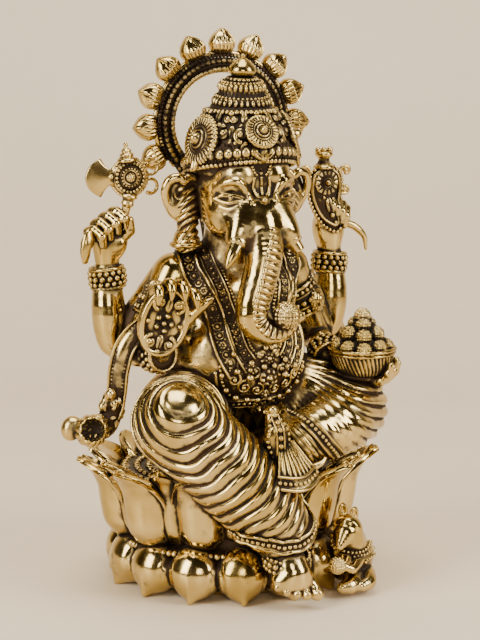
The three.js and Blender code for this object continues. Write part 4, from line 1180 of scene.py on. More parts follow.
def build_crown_band():
    """The brow band: a thick ring between rows of beads, tilted up at the front."""
    band = piece("crown_band")
    tilt = math.radians(12)

    def on_band(degrees, out, lift):
        a, reach = math.radians(degrees), 14.2 + out
        flat = vec(reach * math.sin(a), -reach * math.cos(a) * math.cos(tilt), 0)
        return CROWN + vec(0, 0.2, -0.8) + flat + vec(0, 0, math.cos(a) * reach * math.sin(tilt) + lift)

    fine = np.linspace(0, 360, 181)[:-1]
    tube(band, [on_band(a, 0, 0) for a in fine], 1.15, 10, close=True)
    beads(band, [on_band(a, 1.0, -1.0) for a in np.arange(0, 360, 5.1)], 0.82)
    beads(band, [on_band(a, 1.0, 1.6) for a in np.arange(0, 360, 9.0)], 1.5)
    beads(band, [on_band(a, 1.35, 0.1) for a in np.arange(0, 360, 3.7)], 0.42)
    tube(band, [on_band(a, 0.15, 3.0) for a in fine], 0.55, 6, close=True)


def build_crown_tiers():
    """Two fluted wheels on a waisted neck, edged with beads."""
    tiers = piece("crown_tiers")
    axis = unit(vec(0, -0.08, 1))
    low = crown_axis(15.0)
    neck = [(0, 0), (7.4, 0.1), (7.6, 1.6), (7.6, 3.0), (6.6, 3.6), (6.4, 5.4), (6.0, 6.0), (5.2, 7.4),
            (4.0, 7.9), (3.8, 8.6), (0, 8.7)]
    lathe(tiers, curve(neck, 3), low, axis, 96, 32, 0.05)
    for radius, height, thick, count in ((8.4, 1.7, 1.45, 30), (6.9, 5.9, 1.25, 26)):
        wheel = [(radius - 2.2, height - 0.8 * thick)]
        wheel += [(radius - thick + thick * math.cos(t), height + thick * math.sin(t))
                  for t in np.linspace(-1.35, 1.35, 11)]
        wheel += [(radius - 2.2, height + 0.8 * thick)]
        lathe(tiers, wheel, low, axis, count * 8, count, 0.13, 0.0)
        for off, size in ((-thick - 0.2, 0.42), (thick + 0.2, 0.42)):
            beads(tiers, ring_round(low + axis * (height + off), axis, radius - 1.2, int(count * 1.25)), size)
    beads(tiers, ring_round(low + axis * 8.0, axis, 4.0, 20), 0.6)


def build_crown_finial():
    """A bud on a collar, with six veins."""
    finial = piece("crown_finial")
    base = spot("crown_finial", 0.5, 0.5, 0.0)
    bud = [(0, -0.4), (2.2, -0.4), (2.7, 0.1), (2.3, 0.8), (3.1, 1.3), (3.8, 2.2), (3.9, 3.0), (3.4, 4.0),
           (2.4, 5.0), (1.3, 5.8), (0.6, 6.2), (0.85, 6.6), (0.5, 7.1), (0, 7.2)]
    lathe(finial, curve(bud, 4), base, (0.02, -0.06, 1), 48, 0)
    for a in range(0, 360, 60):
        out = round_at(math.radians(a), 1, 1, 0)
        line = [base + out * 3.5 + vec(0, 0, 1.8), base + out * 3.75 + vec(0, -0.1, 3.0), base + out * 2.2
                + vec(0, -0.2, 5.1)]
        tube(finial, curve(line, 4), 0.26, 6, up=out)


def build_crown_front():
    """The front rosette, between four scrolls and over three leaves."""
    front = piece("crown_front_rosette")
    place, out = on_crown(0, 8.8, 1.4)
    sunburst(front, place, unit(out + vec(0, 0, 0.12)), 4.9)
    for side in (-1, 1):
        curl, way = on_crown(side * 24, 8.2, 0.9)
        spiral(front, curl, way, 2.2, 1.3, -QUARTER, 0.75, side)
        curl, way = on_crown(side * 18, 4.4, 0.9)
        spiral(front, curl, way, 1.8, 1.3, QUARTER, 0.65, -side)
    bottom, out = on_crown(0, 3.2, 0.7)
    for dx, dz, tilt_leaf, size in ((0, 0.5, 0, 2.9), (-1.8, -0.1, 50, 2.2), (1.8, -0.1, -50, 2.2)):
        up = vec(-math.sin(math.radians(tilt_leaf)), 0, math.cos(math.radians(tilt_leaf)))
        leaf(front, bottom + vec(dx, -0.5, dz), out, size, 0.42, up)
    beads(front, [bottom + vec(0, -0.9, -1.3)], 0.75)


def build_crown_sides():
    """A large rosette over each ear, in a ring of beads."""
    for side, node in ((-1, "crown_right_rosette"), (1, "crown_left_rosette")):
        brass = piece(node)
        place, out = on_crown(side * 76, 6.6, 0.8)
        sunburst(brass, place, out, 6.3, pleats=30, stretch=(1, 1.08))
        normal, across, top = plane(out)
        beads(brass, [place + 6.35 * math.cos(a) * across + 6.8 * math.sin(a) * top - 0.2 * normal
                      for a in full_turn(36)], 0.5)
        leaf(brass, place - 6.9 * top + 0.2 * normal, normal, 2.2, 0.6, -top)


def leaf(brass, centre, normal, size, share=0.5, up=(0, 0, 1)):
    """A pointed leaf with a groove down its middle and raised edges."""
    def height(r, a):
        point = np.abs(np.cos(a))
        return 0.28 * size * round_top(r) * (0.45 + 0.55 * np.clip(3 * r * point, 0, 1)) + 0.1
    medallion(brass, np.asarray(centre), normal, size, height, up, 6, 20, 0.5, (share, 1.0))


for build in (build_halo_ring, build_halo_petals, build_halo_stem, build_crown_body, build_crown_band,
              build_crown_tiers, build_crown_finial, build_crown_front, build_crown_sides):
    build()


# ---------------------------------------------------------------- lines draped over the figure
def drape(clay, spots, lift):
    """(x, z) places dropped straight back onto a surface from in front of it."""
    spots = np.asarray(spots, float)
    points = np.column_stack([spots[:, 0], np.full(len(spots), -45.0), spots[:, 1]])
    low = clay.low + clay.step
    for _ in range(90):
        near = clay.sample(np.maximum(points, low)) - lift
        points[:, 1] = np.maximum(points[:, 1], low[1])
        points[:, 1] += np.clip(near, -0.4, 2.5) * 0.8
    points, normals = clay.settle(points, lift, 3)
    return points, normals


def smooth_line(line, rounds=3):
    """A line whose inner points are averaged with their neighbours."""
    line = line.copy()
    for _ in range(rounds):
        line[1:-1] = 0.25 * line[:-2] + 0.5 * line[1:-1] + 0.25 * line[2:]
    return line


def laid(clay, spots, lift):
    """A smooth line through (x, z) places, draped on a surface: its points and the ways out from it."""
    flat = curve(np.column_stack([spots, np.zeros(len(spots))]), 10)[:, :2]
    line, normals = drape(clay, paced(flat, 0.7), lift)
    return smooth_line(line), unit(smooth_line(normals, 5))


def wrapped(clay, points, lift, gap=0.7):
    """A smooth line through points near a surface, brought onto it."""
    line = paced(curve(points, 10), gap)
    line, normals = clay.settle(line, lift)
    return smooth_line(line), unit(smooth_line(normals, 5))


def cord_face(half, rim, floor=0.3, proud=0.95):
    """The section of a strap: a raised cord along each edge of a flat floor."""
    face = [(-half - 0.1, -0.5), (-half, 0.45 * proud), (-half + 0.35 * rim, proud),
            (-half + 0.75 * rim, 0.85 * proud), (-half + rim, floor), (-0.3 * half, floor)]
    return face + [(-x, z) for x, z in face[::-1]]


def stud(r, _):
    """A domed stud inside a ring."""
    return 0.85 * round_top(r / 0.5) + 0.55 * bump(r - 0.82, 0.2)


def flower(r, a):
    """A bead inside six petals."""
    return 0.45 * bump(r, 0.32) + 0.5 * (0.45 + 0.55 * np.cos(3 * a) ** 2) * bump(r - 0.62, 0.42)


def studded(brass, line, normals, half, rim, gap, size, proud=0.95):
    """A strap with a row of studs and small flowers between its raised edges."""
    strap(brass, line, normals, cord_face(half, rim, proud=proud))
    s = lengths(line)
    spots = np.arange(gap * 0.5, s[-1], gap)
    for i, at in enumerate(spots):
        place, normal = places_at(line, s, at), places_at(normals, s, at)
        medallion(brass, place + 0.2 * unit(normal), normal, size, stud if i % 3 < 2 else flower, rings=6,
                  sectors=18, depth=0.3)
        for side in (-1, 1):
            k = int(np.clip(np.searchsorted(s, at + 0.5 * gap), 1, len(s) - 1))
            along = unit(line[k] - line[k - 1])
            across = np.cross(unit(normals[k]), along)
            beads(brass, [line[k] + 0.45 * unit(normals[k]) + side * 0.42 * half * across], 0.3)


def beaded(brass, line, normals, size, gap, cord=0.0, off=0.0):
    """A row of beads along a line, with a cord on each side of it if cord is given."""
    _, side, _ = frames_along(line, normals)
    s = lengths(line)
    track = line + off * side
    beads(brass, places_at(track, s, np.linspace(0, s[-1], max(int(s[-1] / gap), 1) + 1)), size)
    if cord:
        for hand in (-1, 1):
            tube(brass, track + hand * (size + 0.8 * cord) * side, cord, 7, up=normals)


def build_garlands():
    """Two garlands from the shoulders to the belly, the outer one wider."""
    outer, inner = piece("outer_garland"), piece("inner_garland")
    right = [(0, 9.5, 84), (-6, 9, 88), (-10.8, 5.5, 94), (-14.4, -1.5, 97), (-15.4, -7.5, 92.6),
             (-14.6, -14, 87.0), (-13.6, -19, 81), (-12.6, -21.5, 75.0), (-10.8, -23, 68.6),
             (-7.4, -23.5, 62.6)]
    left = [(0, 9.5, 84), (6, 9, 88), (10.8, 5.5, 94), (14.4, -1.5, 97), (16.0, -7.5, 92.6),
            (16.2, -13, 86.5), (16.4, -17, 80), (16.6, -19, 74.0), (15.2, -20, 68.6), (12.0, -21, 63.4)]
    for points in (right, left):
        line, normals = wrapped(TORSO, points, 0.15)
        studded(outer, line, normals, 2.75, 0.85, 2.75, 1.3)
    right = [(-10.6, -6.0, 97.0), (-10.4, -11, 92.5), (-9.0, -17, 85.5), (-7.6, -21, 78.0),
             (-6.2, -23, 71.0), (-3.6, -24, 66.6)]
    left = [(10.6, -6.0, 97.0), (10.8, -11, 92.5), (10.6, -16, 85.5), (10.6, -20, 78.0),
            (10.4, -22, 71.0), (7.6, -23, 66.8)]
    for points in (right, left):
        line, normals = wrapped(TORSO, points, 0.1)
        studded(inner, line, normals, 1.9, 0.55, 2.0, 0.85, proud=0.75)
        beaded(inner, line, normals, 0.45, 1.05, 0.0, 2.7)
        beaded(inner, line, normals, 0.45, 1.05, 0.0, -2.7)


def build_belly_ornament():
    """A cluster of bosses, scrolls and drops where the garlands meet."""
    brass = piece("belly_ornament")
    cx, cz = 2.2, 61.6
    for side in (-1, 1):
        for x, z, size, hand, start in ((2.9, -3.2, 2.3, 1, QUARTER), (6.6, -2.2, 2.4, -1, QUARTER),
                                        (9.8, 0.2, 2.3, 1, QUARTER), (4.2, 2.3, 1.8, -1, -QUARTER),
                                        (7.8, 4.4, 1.9, 1, -QUARTER), (2.4, 6.8, 1.7, -1, -QUARTER),
                                        (11.2, 5.2, 1.7, -1, -QUARTER)):
            place, normal = drape(TORSO, [(cx + side * x, cz + z)], 0.45)
            spiral(brass, place[0], normal[0], size, 1.4, start, 0.46, hand * side)
        drops = [(5.2, -6.2, 0.95), (8.6, -5.4, 1.0), (11.6, -3.0, 0.9), (1.9, -6.6, 0.9),
                 (5.6, 0.6, 1.15), (9.3, 2.6, 1.0), (1.6, 3.6, 0.9), (5.4, 4.9, 0.9), (10.2, 7.6, 0.9),
                 (0.9, 8.8, 0.8), (13.2, 1.4, 0.8)]
        places, _ = drape(TORSO, [(cx + side * x, cz + z) for x, z, _ in drops], 0.8)
        beads(brass, places, np.array([size for _, _, size in drops]))
        hem = [(0.4, -8.4), (4.0, -8.6), (8.0, -7.8), (11.4, -5.6), (13.6, -2.2), (14.6, 2.4)]
        line, normals = laid(TORSO, np.array([(cx + side * x, cz + z) for x, z in hem]), 0.2)
        tube(brass, line, 0.55, 8, up=normals)
        line, normals = laid(TORSO, np.array([(cx + side * x * 0.93, cz + z + 1.5) for x, z in hem]), 0.3)
        beaded(brass, line, normals, 0.5, 1.15)
    for x, z, size, lift in ((0, 0.4, 2.7, 0.9), (-5.8, 3.0, 1.9, 0.7), (5.8, 3.0, 1.9, 0.7),
                             (0, 5.8, 1.7, 0.7), (0, -5.0, 1.5, 0.6)):
        def boss(r, a):
            """A dome inside a ring of seven lobes."""
            return size * (0.62 * round_top(r / 0.42) + 0.3 * (0.5 + 0.5 * np.cos(7 * a))
                           * bump(r - 0.68, 0.34))

        place, normal = drape(TORSO, [(cx + x, cz + z)], lift)
        medallion(brass, place[0], normal[0], size, boss, rings=12, sectors=42, depth=1.2)


build_garlands()
build_belly_ornament()


# ---------------------------------------------------------------- cloth hems, tassel, belt and foot
def whole(*clays):
    """One field that joins several, sampled by settle() and drape()."""
    low = np.min([c.low for c in clays], 0)
    high = np.max([[a[-1] for a in c.axes] for c in clays], 0)
    made = Clay(low, high, 0.6)
    for clay in clays:
        made.join(clay, clay.low + 1.2, np.array([a[-1] for a in clay.axes]) - 1.2, 30)
    return made


FIGURE = whole(TORSO, RIGHT_LEG, LEFT_LEG, *ARMS)


def hem_strap(brass, line, normals, half):
    """A hem: a flat tape, beads down its middle, and a cord along each edge."""
    strap(brass, line, normals, cord_face(half, 0.7, 0.35, 0.6))
    _, side, _ = frames_along(line, normals)
    for hand in (-1, 1):
        tube(brass, line + hand * half * side + 0.45 * normals, 0.42, 8, up=normals)
    beaded(brass, line + 0.5 * normals, normals, 0.62, 1.5)


def build_right_hem():
    """The hem that crosses the right shin and turns up its outer side."""
    end = RIGHT_SHIN_END
    right = piece("right_hem_band")
    points = around(end, (-13.2, 3.2, 1.4), (-12.2, -3.0, -0.6), (-8.4, -8.4, -2.4), (-2.6, -10.6, -3.0),
                    (3.6, -9.2, -1.6), (8.0, -5.0, 1.8), (9.8, 0.6, 6.0), (10.2, 3.0, 10.0),
                    (9.0, 5.0, 14.0))
    line, normals = wrapped(RIGHT_LEG, points, 0.2, 0.7)
    hem_strap(right, line, normals, 1.75)


def build_left_hem():
    """The hem over the left thigh, with three folds that run beside it."""
    left = piece("left_hem_band")
    flat = np.array([(5.4, 54.6), (8.6, 51.4), (12.0, 47.4), (15.6, 43.4), (19.6, 39.8)])
    line, normals = laid(FIGURE, flat, 0.2)
    hem_strap(left, line, normals, 1.7)
    _, side, _ = frames_along(line, normals)
    for k, size in ((3.1, 0.75), (4.8, 0.95), (6.8, 1.05)):
        off = line - k * side if side[len(side) // 2][0] > 0 else line + k * side
        off, out = FIGURE.settle(off, 0.1)
        tube(left, smooth_line(off), size * np.sin(np.linspace(0.35, math.pi - 0.35, len(off))), 8,
             up=out, flat=0.7)


def build_tassel():
    brass = piece("front_tassel")
    top = spot("front_tassel", 0.42, 0.62, 0.98)
    foot_end = spot("front_tassel", 0.52, 0.18, 0.02)
    low = spot("front_tassel", 0.5, 0.3, 0.4)
    clay = box_clay("front_tassel", 3, FINE_STEP)
    clay.add(limb([top, low, foot_end], [1.7, 3.0, 1.5]))
    clay.add(egg(low + vec(0, 0, 0.6), (3.5, 2.4, 5.6), (18, 0, 0)), 1.5)
    brass.clay(clay)
    for side in (-1, 0, 1):
        spots = np.array([(top[0] + side * 0.9, top[2] - 0.6), (low[0] + side * 2.9, low[2] + 3.4),
                          (low[0] + side * 3.1, low[2]), (foot_end[0] + side * 1.3, foot_end[2] + 0.8)])
        line, normals = laid(clay, spots, 0.2)
        if side:
            beaded(brass, line, normals, 0.62, 1.45)
        else:
            beaded(brass, line, normals, 0.85, 2.1, 0.3)
    beads(brass, [top + vec(0, -1.2, 0.6)], 1.5)
    tube(brass, curve(around(top, (-2.2, 0, 0.2), (0, -1.4, -0.4), (2.2, 0, 0.2)), 6), 0.6, 8)


def build_fan():
    """The pleated end of the waist cloth, spread over the shin, with a beaded hem between cords."""
    brass = piece("front_sash_fan")
    top = vec(2.2, -33.4, 46.0)
    left_end, right_end = vec(-3.2, -39.6, 37.4), vec(9.8, -36.0, 38.4)
    rows, columns = 30, 81
    v, u = np.linspace(0, 1, rows), np.linspace(0, 1, columns)
    low = left_end + u[:, None] * (right_end - left_end) + np.sin(math.pi * u)[:, None] * vec(0.8, -1.6, -1.4)
    high = top + (u[:, None] - 0.5) * vec(5.0, 1.0, 0)
    grid = high[None] + (v[:, None, None]) ** 0.9 * (low - high)[None]
    swell = 1.1 * np.sin(math.pi * v)[:, None] * np.sin(math.pi * u)[None]
    pleat = (0.25 + 0.55 * v[:, None]) * (ridges(u * 8.0, 0.8)[None] - 0.5)
    out = unit(vec(-0.25, -1, 0.25))
    front = grid + (swell + pleat + 0.3)[..., None] * out
    sheet(brass, front, grid - 0.9 * out)
    hem = low + 0.35 * out
    flare = unit(low[-1] - low[0])
    line = smooth_line(hem, 2)
    normals = np.tile(out, (len(line), 1))
    down = unit(np.cross(flare, out))
    down = down if down[2] < 0 else -down
    center = line + 1.3 * down
    strap(brass, paced(center, 0.7), np.tile(out, (len(paced(center, 0.7)), 1)),
          cord_face(1.9, 0.6, 0.3, 0.55))
    for off, size in ((-0.5, 0.45), (3.1, 0.5)):
        tube(brass, line + off * down + 0.5 * out, size, 8, up=out)
    beaded(brass, center + 0.6 * out, normals, 0.6, 1.5)
    tube(brass, curve([low[-1] + vec(-0.4, -0.3, 0.2), low[-1] + vec(2.0, -0.4, 1.2), low[-1]
                       + vec(3.4, 0, 2.6)], 6), np.linspace(1.1, 0.4, 13), 8, up=out)


def build_belt():
    brass = piece("waist_belt")
    for side in (-1, 1):
        points = around(BELLY, (side * 20.6, 4, -13.4), (side * 17, -8, -13.4), (side * 10, -14.5, -13.8),
                        (side * 4 + 1.5, -16.5, -14.0), (1.5, -17, -14.2))
        line, normals = wrapped(TORSO, points, 0.3, 0.8)
        strap(brass, line, normals, cord_face(1.7, 0.6, 0.3, 0.8))
        beaded(brass, line + 0.4 * normals, normals, 0.62, 1.5)
    clasp, normal = drape(TORSO, [(1.6, 52.2)], 0.8)
    sunburst(brass, clasp[0], normal[0], 2.6, pleats=18)


def build_right_foot():
    """The foot that hangs over the seat's edge, its toes pointing down."""
    clay = box_clay("right_foot", 4.5, FINE_STEP)
    heel = vec(1.0, -34.6, 14.0)
    clay.add(limb(around(heel, (0, 3, 2.6), (0.2, -2.6, -1.0), (0.8, -4.6, -4.0)), [4.8, 4.8, 4.8]))
    clay.add(egg(heel + vec(0.9, -4.6, -6.0), (6.6, 4.4, 3.4), (30, 6, 0)), 1.8)
    toes = [(-5.4, -5.4, -7.2, 1.1), (-3.2, -6.9, -8.3, 1.18), (-0.6, -7.9, -9.0, 1.25),
            (2.2, -8.4, -9.5, 1.35), (5.5, -8.0, -9.7, 1.8)]
    for x, y, z, size in toes:
        tip = heel + vec(x + 0.8, y, z)
        root = heel + vec(0.5 * x + 0.4, -4.4, 0.6)
        knuckle = heel + vec(0.86 * x + 0.7, y + 1.5, z + 2.9)
        clay.add(limb([root, knuckle, tip], [0.55, 0.85 * size, 0.95 * size]), 0.5)
        clay.add(egg(tip + vec(0, -0.3, -0.1), size * 1.02), 0.25)
        clay.add(egg(tip + vec(0.05, -0.9 * size, 0.42 * size), (0.55 * size, 0.3 * size, 0.5 * size),
                     (-30, 0, 0)), 0.06)
    piece("right_foot").clay(clay)


def build_left_foot():
    """The foot tucked in behind the other shin."""
    clay = box_clay("left_foot", 4, FINE_STEP)
    heel = LEFT_SHIN_END + vec(-4, -1, -4)
    clay.add(limb([LEFT_SHIN_END + vec(-3, 0, -2), heel + vec(-2.4, -1, -1)], [4.2, 3.4]))
    for i in range(5):
        tip = heel + vec(-5.4, -2.6 + 0.2 * i, 1.6 - 1.5 * i)
        clay.add(limb([heel + vec(-2, -1, 0.4 - 0.6 * i), tip], [1.3, 1.15 - 0.05 * i]), 0.5)
    piece("left_foot").clay(clay)


def build_anklet():
    """Three rings of beads round the ankle, with two cords between them."""
    brass = piece("right_anklet")
    centre = vec(1.3, -36.0, 13.2)
    for drop, size, gap in ((0.0, 0.95, 1.9), (-1.7, 0.7, 1.5), (1.6, 0.6, 1.4)):
        ring = [centre + round_at(a, 6.3, 5.5, drop - 1.4 * math.cos(a))
                for a in np.linspace(0, 2 * math.pi, 49)]
        beads(brass, paced(np.array(ring), gap)[:-1], size)
    for drop in (-0.8, 0.9):
        ring = [centre + round_at(a, 6.0, 5.2, drop - 1.4 * math.cos(a)) for a in full_turn(48)]
        tube(brass, ring, 0.5, 8, close=True)


for build in (build_right_hem, build_left_hem, build_tassel, build_fan, build_belt, build_right_foot,
              build_left_foot, build_anklet):
    build()


# ---------------------------------------------------------------- bands on the arms
def arm_band(brass, centre, axis, radius, rows):
    """Rings of beads and cords round a limb. rows lists (offset along it, size, beads or cord)."""
    axis = unit(axis)
    for off, size, kind in rows:
        ring = ring_round(centre + off * axis, axis, radius + 0.2, 48)
        if kind == "cord":
            tube(brass, ring, size, 8, up=axis, close=True)
        elif kind == "rope":
            tube(brass, ring, size, 8, up=axis, close=True, lobes=2, twist=0.35, depth=0.25)
        else:
            count = int(2 * math.pi * radius / (2.15 * size))
            beads(brass, ring_round(centre + off * axis, axis, radius + 0.45, count), size)
    core = [(radius - 1.5, -0.5), (radius + 0.1, -0.5), (radius + 0.1, 0.5), (radius - 1.5, 0.5)]
    width = max(off for off, _, _ in rows) - min(off for off, _, _ in rows)
    middle = 0.5 * (max(off for off, _, _ in rows) + min(off for off, _, _ in rows))
    core = [(r, h * width + middle) for r, h in core]
    lathe(brass, core, centre, axis, 40)


def build_bracelets():
    """Three rows of beads between ropes at each wrist."""
    rows = [(-2.6, 0.55, "rope"), (-1.5, 0.75, "beads"), (0.0, 0.85, "beads"), (1.5, 0.75, "beads"),
            (2.6, 0.55, "rope")]
    for node, wrist, elbow in (("rear_right_bracelet", REAR_WRIST_R, REAR_ELBOW_R),
                               ("rear_left_bracelet", REAR_WRIST, REAR_ELBOW)):
        arm_band(piece(node), wrist + vec(0, 0, -2.2), wrist - elbow + vec(0, 0, 6), 4.35, rows)
    for node, wrist, elbow, shift, radius in (
            ("front_right_bracelet", BLESSING_WRIST, RIGHT_FRONT_ELBOW, (0, 0.4, -0.4), 4.4),
            ("front_left_bracelet", LEFT_FRONT_WRIST, LEFT_FRONT_ELBOW, (0, 0.6, 0.4), 4.0)):
        arm_band(piece(node), wrist + vec(*shift), wrist - elbow, radius, rows)


def spiral_boss(brass, centre, normal, radius):
    def height(r, a):
        wind = ridges(r * 2.6 - a / (2 * math.pi), 0.9)
        return radius * (0.62 * round_top(r) + 0.09 * wind * (r < 0.97))
    medallion(brass, centre, normal, radius, height, rings=24, sectors=44, depth=1.2)


def build_armlet(node, side):
    brass = piece(node)
    top = SHOULDER * vec(side, 1, 1)
    low = (LEFT_FRONT_ELBOW if side > 0 else RIGHT_FRONT_ELBOW)
    axis = unit(low - top)
    centre = top + 9.8 * axis + vec(side * 0.3, -0.4, 0)
    rows = [(-4.6, 0.55, "rope"), (-3.4, 0.7, "beads"), (-2.2, 0.45, "cord"), (0.0, 0.9, "beads"),
            (1.6, 0.45, "cord"), (2.8, 0.75, "beads"), (4.0, 0.55, "rope")]
    arm_band(brass, centre, axis, 5.5, rows)
    out = unit(vec(side * 0.62, -0.75, 0.18))
    spiral_boss(brass, centre + 5.4 * out + vec(0, 0, -1.4), out, 3.3)
    arm_band(brass, centre + 6.0 * out + vec(0, 0, -1.4), out, 3.0, [(0, 0.5, "beads"), (-0.6, 0.4, "cord")])
    out = unit(vec(side * 0.75, -0.5, 0.62))
    crest = centre + 5.2 * out - 3.6 * axis
    spiral_boss(brass, crest, out, 2.6)
    arm_band(brass, crest + 0.3 * out, out, 2.4, [(0, 0.42, "beads")])
    spiral_boss(brass, centre - 7.2 * axis + vec(side * 4.2, -1.2, 1.0), unit(vec(side * 0.4, -0.5, 0.8)),
                2.2)


build_bracelets()
build_armlet("right_armlet", -1)
build_armlet("left_armlet", 1)


# ---------------------------------------------------------------- sweets, bowl and mouse
def sweet_ball(brass, centre, radius, n=9, depth=0.17):
    """A ball of boiled grains: its face is a grid of small pips."""
    points, faces = GRAIN
    grid = np.abs(np.sin(n * GRAIN_UV[:, 0]) * np.sin(n * GRAIN_UV[:, 1])) ** 0.5
    brass.add(centre + points * (radius * (1 - depth * (1 - grid)))[:, None], faces)


GRAIN = bead_template(24)
SURE = np.abs(GRAIN[0]).argmax(1)
GRAIN_UV = np.array([[math.atan2(p[(k + 1) % 3], abs(p[k])), math.atan2(p[(k + 2) % 3], abs(p[k]))] for p,
                     k in zip(GRAIN[0], SURE)])


def build_bowl():
    """A fluted bowl whose flutes lean, with two ropes round its lip."""
    bowl = piece("sweet_bowl")
    side = [(0, -0.4), (3.6, -0.3), (4.6, 0.2), (6.6, 1.2), (8.2, 3.2), (9.1, 5.8), (9.35, 7.6), (9.3, 8.0)]
    inside = [(8.6, 8.0), (8.2, 6.6), (0, 6.4)]
    lathe(bowl, np.vstack([curve(side, 4), inside]), BOWL, (0, 0, 1), 264, 44, 0.07, 0.035)
    for height, radius, size in ((8.2, 9.35, 0.55), (7.1, 9.3, 0.4)):
        ring = ring_round(BOWL + vec(0, 0, height), (0, 0, 1), radius, 90)
        tube(bowl, ring, size, 8, close=True, lobes=2, twist=0.45, depth=0.3)


def build_heap():
    """Sweets piled in four layers, over a core that closes the gaps."""
    heap = piece("sweet_heap")
    top = BOWL + vec(0, 0, 8.8)
    layers = ((9, 6.7, 0.0, 2.55), (6, 4.3, 3.5, 2.55), (3, 2.0, 6.4, 2.5), (1, 0.0, 8.4, 2.5))
    for k, (count, reach, high, size) in enumerate(layers):
        for i in range(count):
            a = 2 * math.pi * (i + 0.35 * k) / count + 0.3
            sweet_ball(heap, top + vec(reach * math.sin(a), -reach * math.cos(a), high + 0.3
                                       * math.sin(3 * a)), size)
    lathe(heap, [(0, -2), (7, -1.8), (6.5, 0.5), (3.5, 4.0), (1.5, 6), (0, 6.2)], top, segments=24)
    sweet_ball(piece("trunk_sweet"), spot("trunk_sweet", 0.5, 0.5, 0.5) + vec(-0.6, 0.2, 0), 4.0, 9, 0.14)


def build_mouse():
    """The mouse that sits up beside the seat, with its collar, straps, tail and sweet."""
    clay = box_clay("mouse", 4, FINE_STEP)

    def on(x, y, z):
        return MOUSE + vec(x, y, z)

    clay.add(egg(on(3.8, 2.0, 7.8), (7.0, 7.0, 7.4)))
    clay.add(limb(around(MOUSE, (3.0, -0.5, 10), (1.0, -3.6, 15)), [5.6, 4.3]), 2)
    head_at = on(-0.4, -5.0, 18.0)
    nose = on(-4.4, -8.0, 14.4)
    clay.add(limb([head_at, nose], [4.3, 1.35]), 1.5)
    clay.add(egg(nose + vec(-0.3, -0.3, -0.1), 0.9), 0.3)
    for x, y, z, tilt_x in ((4.4, 0.2, 20.4, 10), (0.2, -1.2, 22.4, -20)):
        ear = on(x, y, z)
        clay.add(egg(ear, (1.9, 0.9, 2.4), (0, tilt_x, 25)), 0.4)
        clay.cut(egg(ear + vec(-0.3, -0.9, 0.1), (1.15, 0.7, 1.6), (0, tilt_x, 25)), 0.2)
    clay.add(egg(on(-2.6, -8.2, 17.6), (0.8, 0.6, 0.7)), 0.1)
    # Two arms, then two hind feet.
    for places, radii, blend in (
            (((-0.4, -4.6, 10.4), (-3.0, -8.4, 8.6), (-4.8, -9.2, 9.4)), [2.0, 1.5, 1.2], 0.8),
            (((2.8, -5.6, 8.8), (-0.6, -9.0, 7.6), (-2.8, -9.4, 8.2)), [1.9, 1.4, 1.1], 0.6),
            (((3, -3, 3.6), (0, -7.2, 2.4), (-3.6, -8.4, 2.2)), [3.4, 2.6, 1.6], 0.8),
            (((6.6, -2.4, 3.4), (5.4, -6.6, 2.4), (2.6, -8.6, 2.0)), [3.2, 2.4, 1.5], 0.6)):
        clay.add(limb(around(MOUSE, *places), radii), blend)
    x, y, z = clay.everywhere()
    clay.d = np.maximum(clay.d, 0.3 - z)
    brass = piece("mouse").clay(clay)
    collar = ring_round(on(1.3, -2.2, 14.0), vec(-0.4, -0.6, 0.9), 4.5, 22)
    beads(brass, collar, 0.66)
    for k in range(3):
        line = around(MOUSE, (-1.2 + 2.2 * k, -5.4 + 1.2 * k, 12.4 - 1.6 * k),
                      (3.6 + 1.6 * k, -4.0 + 1.4 * k, 12.0 - 1.6 * k),
                      (8.4 + 0.8 * k, 0.4 + 0.6 * k, 11.2 - 1.8 * k), (10.2, 5.4, 9.6 - 1.6 * k))
        points, normals = wrapped(clay, line, 0.15, 0.6)
        if k == 1:
            strap(brass, points, normals, cord_face(1.5, 0.5, 0.25, 0.5))
        beaded(brass, points + 0.2 * normals, normals, 0.5, 1.15)
    end = corners("mouse_tail")[1][0]
    tail = [on(8.4, 5.6, 4.6), vec(end - 0.8, -21.6, 4.2), vec(end - 2.2, -24.4, 5.6),
            vec(end - 4.6, -25.0, 6.4)]
    tube(piece("mouse_tail"), curve(tail, 8), np.linspace(1.5, 0.55, 25), 10)
    sweet_ball(piece("mouse_sweet"), spot("mouse_sweet", 0.5, 0.4, 0.5), 2.6, 8, 0.14)


build_bowl()
build_heap()
build_mouse()


